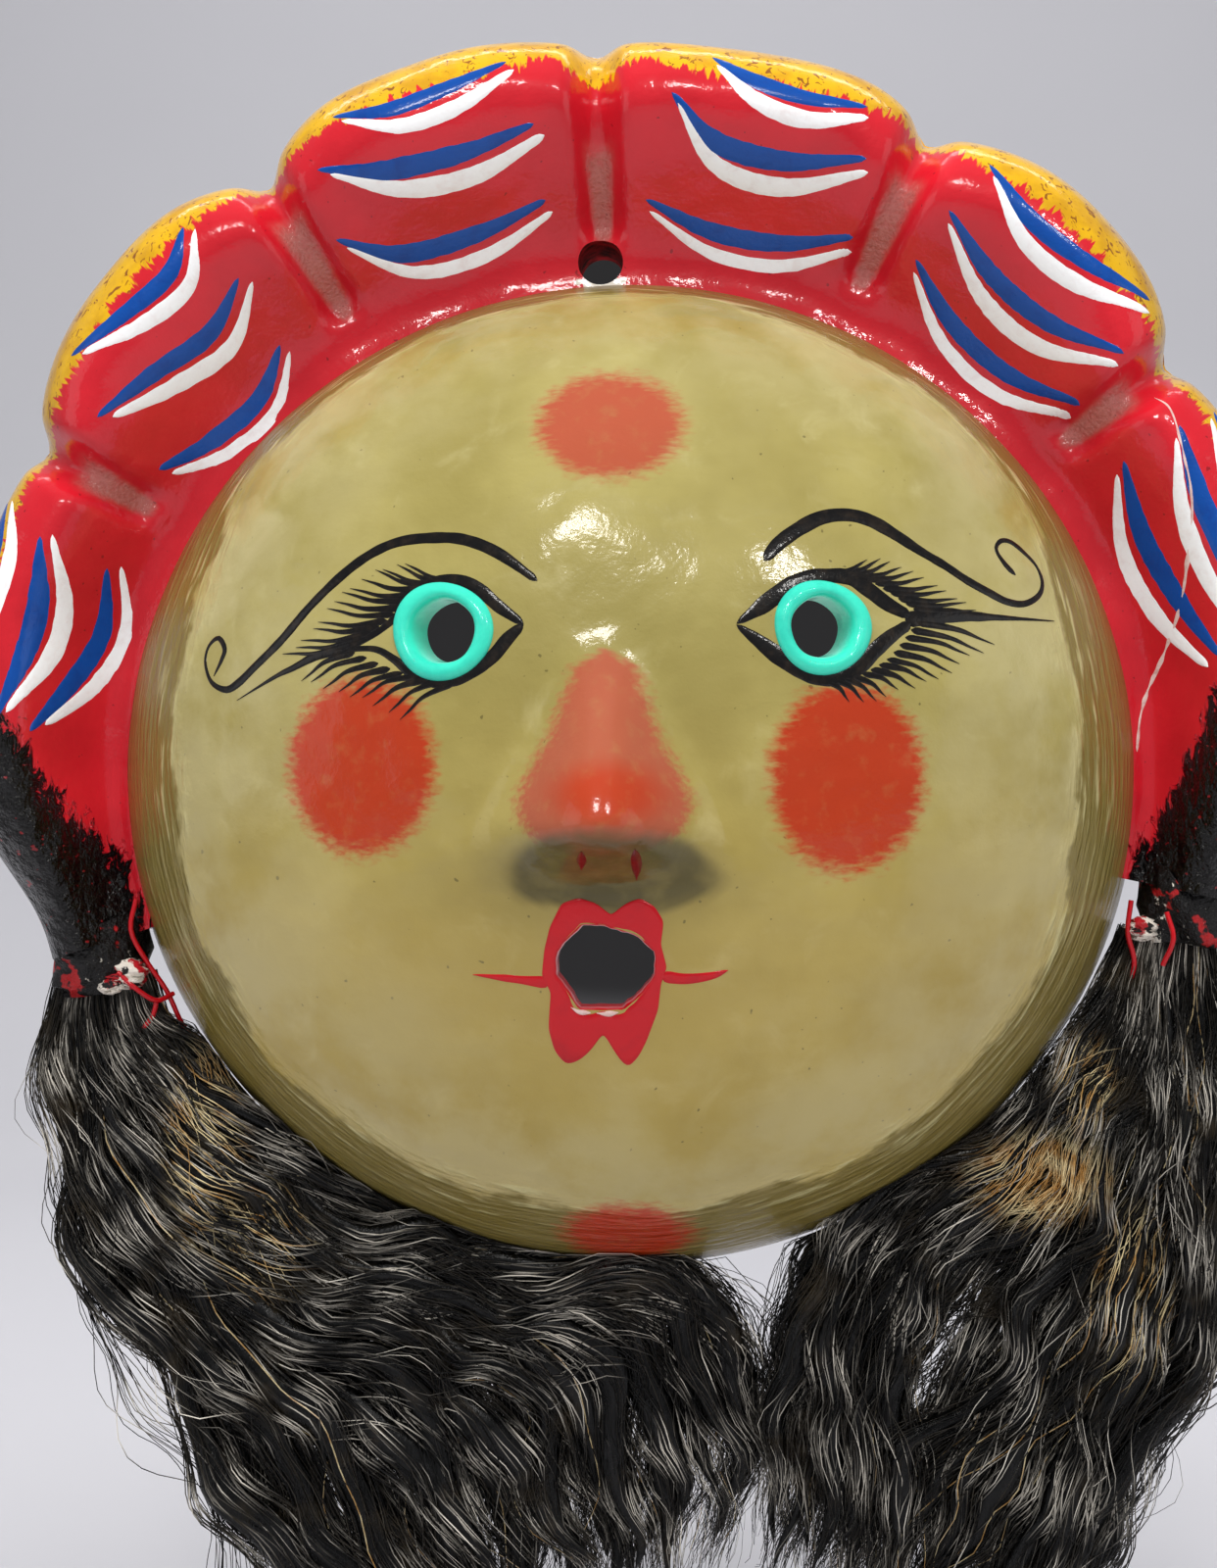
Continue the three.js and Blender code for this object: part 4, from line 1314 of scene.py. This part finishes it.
def lock_cores(side, across_hank, locks):
    """A closed tube down the middle of each lock, so that no light shows through it."""
    along = np.linspace(0.01, 0.97, HAIR_STEPS)[None, :, None] * locks["reach"][:, None, None]
    along, turn = np.broadcast_arrays(along, once_round(CORE_SIDES)[None, None])
    spread = {key: value[:, None, None] + np.zeros(along.shape) for key, value in locks.items()}
    step = np.arange(HAIR_STEPS)
    closing = np.sqrt(np.clip(np.minimum(step, step[::-1]) / 5, 0, 1))
    out = CORE_SIZE * np.maximum(closing, 0.02)[None, :, None] + np.zeros(along.shape)
    at, _, depth, _ = bundle_places(side, across_hank, spread, along, turn, out)
    points = outside_face(at, depth)
    return points.reshape(-1, 3), tube_quads(len(points), HAIR_STEPS, CORE_SIDES)


def lock_fibres(side, kind, locks, luck):
    """Paths, radii and painted highlights of the fibres over the locks, some of which stray in loops."""
    count = len(locks["share"]) * kind["each"]

    def each_own(low, high):
        return luck.uniform(low, high, (count, 1))

    which = np.arange(count) // kind["each"]
    own = {key: value[which][:, None] + np.zeros((count, HAIR_STEPS)) for key, value in locks.items()}
    t = np.linspace(0, 1, HAIR_STEPS)[None]
    along = t * own["reach"] * each_own(0.88, 1.03)
    turn = each_own(0, TURN) + np.zeros_like(along)
    out = each_own(0.78, 1.12) + np.zeros_like(along)
    at, across, depth, length = bundle_places(side, kind["across"], own, along, turn, out)
    fine = each_own(0.2, 1.0)
    fine = fine * np.sin(TURN * (length / each_own(16, 44) + each_own(0, 1)))
    strays = each_own(0, 1) < kind["stray"]
    start, stretch = each_own(0.05, 0.7), each_own(0.1, 0.35)
    loop = strays * np.sin(math.pi * np.clip((t - start) / stretch, 0, 1)) ** 2 * each_own(-7, 7)
    end = (each_own(0, 1) > 0.8) * smooth(t, 0.75, 1.0) * each_own(-4, 4)
    free = smooth(length, 3, 15)
    at = at + across * (free * (fine + loop + end))[..., None]
    depth = depth + free * (0.6 * fine + 0.4 * np.abs(loop))
    radii = each_own(0.08, 0.16) * mix(1.0, 0.5, smooth(t, 0.85, 1)) * kind["thick"] * MM
    # Painted highlights in bands where each lock's wave bends, broken by the crimp.
    bend = np.cos(TURN * length / own["wave"] + own["phase"] + luck.normal(0, 0.45, (count, 1)))
    fold = np.sin(TURN * length / FOLD + 5 * own["phase"] + luck.normal(0, 0.5, (count, 1)))
    painted_highlight = smooth(bend, 0.0, 1.0) * smooth(fold, -0.7, 0.7) * each_own(0, 1) ** 1.3
    return outside_face(at, depth), radii, painted_highlight


def hair_piece(side, name):
    """A tress with a dark core in each lock, or the loose fibres that wander over a whole hank."""
    kind = HAIR[name]
    luck = np.random.default_rng(kind["seeds"][SIDES.index(side)])
    locks = pick_locks(kind["across"], luck)
    parts = [] if name == "loose" else [lock_cores(side, kind["across"], locks)]
    core = sum(len(points) for points, _ in parts)
    paths, radii, painted_highlight = lock_fibres(side, kind, locks, luck)
    corners = 3
    parts.append(tubes(paths, radii, corners))
    piece = joined(f"{name}_hair_{side}", parts, FIBRE_PAINT)
    count, steps, _ = paths.shape

    def own_number():
        return np.repeat(luck.uniform(0, 1, count), steps * corners)

    tone = own_number() ** kind["dark"]
    put_attribute(piece, "tone", np.concatenate([np.full(core, CORE_TONE), tone]))
    # Where highlights are painted on the fibres; none on the cores.
    put_attribute(piece, "painted_highlight", np.concatenate([np.zeros(core), np.repeat(painted_highlight.ravel(), corners)]))
    chance = np.concatenate([np.ones(core), own_number()])
    put_attribute(piece, "gold", gold_share(piece, LOCKS[side]["gold"], chance))
    return piece


def gold_share(piece, patches, chance):
    """How far the dye has missed each point, in the patches where it did and on a few strands."""
    x, z, _ = points_of(piece)
    gold = (np.abs(chance - 0.5) < 0.006) * 0.6
    for *patch, much in patches:
        gold = np.maximum(gold, (1 - smooth(oval_away(x, z, *patch), 0.5, 1.2)) * (chance < much))
    return gold


def lumpy_ring(name, side, rows_of, material, seed, lump):
    """A closed lumpy collar at a hinge, from rows of (half-width, half-depth, height, tilt)."""
    middle = PIVOTS[f"hair_{side}"]
    turn = once_round(72)
    rows = []
    for wide, deep, height, tilt in rows_of:
        rough = 1 + lump * ripple(turn * 9 + height, np.full_like(turn, height * 2), 9, seed)
        x = middle[0] + wide * rough * np.cos(turn)
        y = middle[1] + deep * rough * np.sin(turn)
        z = middle[2] + height + tilt * wide * np.cos(turn)
        z = z + 6 * lump * ripple(turn * 7, turn * 0, 12, seed + 1)
        rows.append(np.stack([x, y, z], axis=-1) * MM)
    return banded(name, rows[::-1], material)


def socket(side):
    """The lump of paste between the horn and the hair."""
    pivot = PIVOTS[f"hair_{side}"]
    pivot_x, pivot_z = pivot[0] - FACE_X, pivot[2] - FACE_Z
    slope = math.tan(LOCKS[side]["horn"] * DEG)
    top = slope * pivot_x - pivot_z
    foot = LOCKS[side]["foot"]
    rows = [
        (8.0, 8.2, top + 3.5, slope), (8.8, 8.7, top + 0.5, slope),
        (9.0, 8.5, mix(top, foot, 0.35), slope * 0.6), (8.8, 7.9, mix(top, foot, 0.7), slope * 0.3),
        (8.4, 7.0, foot + 1.6, 0), (7.6, 6.0, foot, 0), (6.6, 5.0, foot - 0.2, 0), (5.6, 4.0, foot + 2, 0),
    ]
    seed = 40 if side == "left" else 50
    made = lumpy_ring(f"paste_{side}", side, rows, SOCKET_PAINT, seed, 0.16)
    x, z, _ = points_of(made)
    toward_face = -math.copysign(1, pivot_x)
    chipped = smooth(toward_face * (x - pivot_x), 1, 9) * smooth(pivot_z - z + 14, 0, 4)
    put_attribute(made, "chipped", 0.22 * chipped)
    return made


def root_bundle(side):
    """The packed fibres inside the paste."""
    rows = [
        (0.5, 0.4, 13, 0), (5.0, 2.4, 13, 0), (6.0, 2.8, 10, 0), (6.2, 2.8, 4, 0), (5.0, 2.2, -3, 0),
        (0.5, 0.4, -6, 0),
    ]
    return lumpy_ring(f"root_{side}", side, rows, FIBRE_PAINT, 60, 0.05)


PASTE_LUMPS = {  # middle x, z and depth, then half-sizes
    "left": [(-95.8, -38.5, 17.5, 4.0, 2.8, 3.2), (-98.8, -40.5, 18.5, 2.4, 1.8, 2.4)],
    "right": [(97.5, -29.5, 16.5, 2.8, 2.2, 3.0)],
}


def paste_lumps(side):
    """Crumbs of white ground and paste pushed in where the hank meets the face."""
    turn = once_round(36)
    lumps = []
    for number, (x, z, depth, wide, tall, deep) in enumerate(PASTE_LUMPS[side]):
        rows = []
        for lean in np.linspace(-0.98, 0.98, 14) * math.pi / 2:
            rough = 1 + 0.35 * ripple(turn * 5 + 9 * lean, lean * 11 + turn, 5, 900 + number)
            across, out = (rough * math.cos(lean) * wave(turn) for wave in (np.cos, np.sin))
            rows.append(place(x + wide * across, z + tall * 1.1 * math.sin(lean), depth + deep * out))
        lumps.append((np.concatenate(rows), tube_quads(1, len(rows), len(turn))))
    return joined(f"paste_lumps_{side}", lumps, LUMP_PAINT)


def binding(side):
    """Thread wound round the root of the hank, some turns slack."""
    pivot = PIVOTS[f"hair_{side}"]
    luck = np.random.default_rng(7 if side == "left" else 8)
    turns, steps = 5, 260
    t = np.linspace(0, 1, steps)
    turn = t * turns * TURN
    loose = 1 + 0.04 * np.sin(turn * 1.37 + 1) + 0.03 * np.sin(turn * 0.61)
    x = pivot[0] + 7.2 * loose * np.cos(turn)
    y = pivot[1] + 3.6 * loose * np.sin(turn)
    slack = 0.5 * np.sin(turn * 0.83 + luck.uniform(0, 3))
    z = pivot[2] + LOCKS[side]["foot"] + 1.0 + 3.0 * t + slack
    path = (np.stack([x, y, z], axis=-1) * MM)[None]
    return thread(f"binding_{side}", path, 0.45, THREAD_PAINT)


def thread(name, paths, radius, material):
    return joined(name, [tubes(paths, np.full(paths.shape[:2], radius * MM), 6)], material)


LOOSE_THREADS = {  # routes of (x, z, depth)
    "left": [
        [(-93.5, -24, 20), (-94.5, -30, 20), (-92, -36, 18), (-88.5, -42, 16), (-86, -49, 13),
         (-82.5, -55, 9)],
        [(-97, -38, 20), (-93.5, -41, 20.5), (-90, -43.5, 18.5), (-87.5, -42.5, 15)],
        [(-90, -43.5, 18), (-91, -46.5, 17), (-93, -49, 16)],
    ],
    "right": [
        [(95, -24, 19), (94.5, -30, 18.5), (96, -36, 17), (95, -42, 14)],
        [(101, -26, 22), (102, -31, 23), (100.5, -36, 21)],
    ],
}


def loose_threads(side):
    paths = np.stack([place(*curve_through(line, 24).T) for line in LOOSE_THREADS[side]])
    return thread(f"loose_threads_{side}", paths, 0.5, LIP_PAINT)


# ---- Assembly --------------------------------------------------------------------------


def mount(piece, slot, *nodes):
    """A piece that rides on the mask, with the CAD nodes that it replaces."""
    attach(piece, "mask")
    if nodes:
        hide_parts(*nodes)


def mount_hair(side, name):
    """Hair of a hank, with its transform baked into its points, in place of its CAD tress where it has
    one.
    """
    hair = hair_piece(side, name)
    if name != "loose":
        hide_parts(f"{name}_tress_{side}")
    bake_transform(hair)


mount(face_piece(), "olive_paint", "face_shell", "nose")
mount(crown_piece(), "red_paint", "headdress")
for piece in [*crown_strokes(), lips(), *mouth_marks()]:
    mount(piece, "red_paint")
for side in SIDES:
    mount(eye_rim(side), "turquoise_paint", f"eye_ring_{side}")
    mount(eye_lines(side), "black_paint")
for side in SIDES:
    mount(socket(side), "black_paint", f"hair_socket_{side}")
    mount(binding(side), "thread", f"hair_binding_{side}")
    mount(root_bundle(side), "dyed_fibre", f"hair_root_{side}")
    mount(loose_threads(side), "thread")
    mount(paste_lumps(side), "black_paint")
    for name in HAIR:
        mount_hair(side, name)

# ---- Stage, lights and camera ----------------------------------------------------------


def sweep():
    """A pale floor that curves up into a backdrop, with soft shade on it far behind the mask.

    The eye and mouth holes look into that shade, as they do where a mask hangs on a wall.
    """
    floor = cad_box[0].z - 0.004
    front, bend_start, bend_radius, top, half_width = -2.5, 0.6, 0.9, 3.0, 3.0  # metres
    steps = 12
    profile = [(front, floor), (bend_start, floor)]
    for step in range(1, steps + 1):
        turn = step / steps * math.pi / 2
        along, up = math.sin(turn), 1 - math.cos(turn)
        profile.append((bend_start + bend_radius * along, floor + bend_radius * up))
    profile.append((bend_start + bend_radius, top))
    points = [(x, y, z) for y, z in profile for x in (-half_width, half_width)]
    quads = sheet_quads(len(profile), 2)
    new_mesh("backdrop", points, quads, backdrop_paint())


def backdrop_paint():
    paint = Paint("backdrop")
    color = paint.blend(paint.noise(400, detail=2.0), linear(188, 187, 192), linear(198, 197, 201))
    away = paint.node("ShaderNodeVectorMath", {"operation": "DISTANCE"})
    paint.feed_all(away, (paint.stretched(1, 0.3, 1), (-0.02, 0.45, 0.06)))
    shade = paint.ramp(away.outputs["Value"], 0.33, 0.43)
    return paint.finish(paint.blend(shade, linear(22, 21, 22), color), 0.8)


# Each light's place from the face, in metres, its width and height, its watts, its colour and
# whether it is seen in the varnish.
WARM, PLAIN, COOL = (1, 0.98, 0.95), (1, 1, 1), (0.96, 0.97, 1)
LIGHTS = {
    "overhead": ((-0.05, -0.35, 1.0), (1.2, 0.5), 11.0, PLAIN, False),
    "skylight": ((-0.06, 0.4, 0.85), (1.0, 0.3), 4.5, PLAIN, False),
    "key": ((-0.1, -0.95, 0.66), (0.24, 0.13), 3.2, WARM, True),
    "second": ((0.42, -0.9, 0.62), (0.12, 0.07), 1.5, WARM, True),
    "fill_left": ((-1.3, -0.7, 0.0), (0.8, 1.4), 2.6, COOL, True),
    "fill_right": ((1.3, -0.6, 0.0), (0.8, 1.4), 2.4, PLAIN, True),
}


def area_light(name, at, aim, size, power, color=PLAIN, in_gloss=True):
    lamp = bpy.data.lights.new(name, "AREA")
    lamp.shape = "RECTANGLE"
    lamp.size, lamp.size_y = size
    lamp.energy = power
    lamp.color = color
    made = link(name, lamp)
    made.location = at
    made.rotation_euler = (Vector(aim) - Vector(at)).to_track_quat("-Z", "Y").to_euler()
    made.visible_glossy = in_gloss


def lights():
    face = Vector(place(0, 0, 30))
    for name, (offset, *settings) in LIGHTS.items():
        area_light(name, face + Vector(offset), face, *settings)
    area_light("backdrop_light", (0, 0.5, 1.1), (0, 1.5, 0.2), (1.6, 0.3), 8.0)
    world = bpy.data.worlds.new("studio")
    bpy.context.scene.world = world
    world.use_nodes = True
    background = world.node_tree.nodes["Background"].inputs
    background["Color"].default_value = (0.86, 0.88, 0.92, 1)
    background["Strength"].default_value = 0.34


def camera():
    """Level, straight ahead and close, turned two degrees to the viewer's left."""
    lens = bpy.data.cameras.new("camera")
    lens.sensor_width = 36
    lens.lens = 50.6
    made = link("camera", lens)
    made.location = (0.0162, -0.4368, -0.0996)
    made.rotation_euler = (math.pi / 2, 0, 2 * DEG)
    bpy.context.scene.camera = made


sweep()
lights()
camera()
bpy.context.scene.view_settings.view_transform = "Standard"
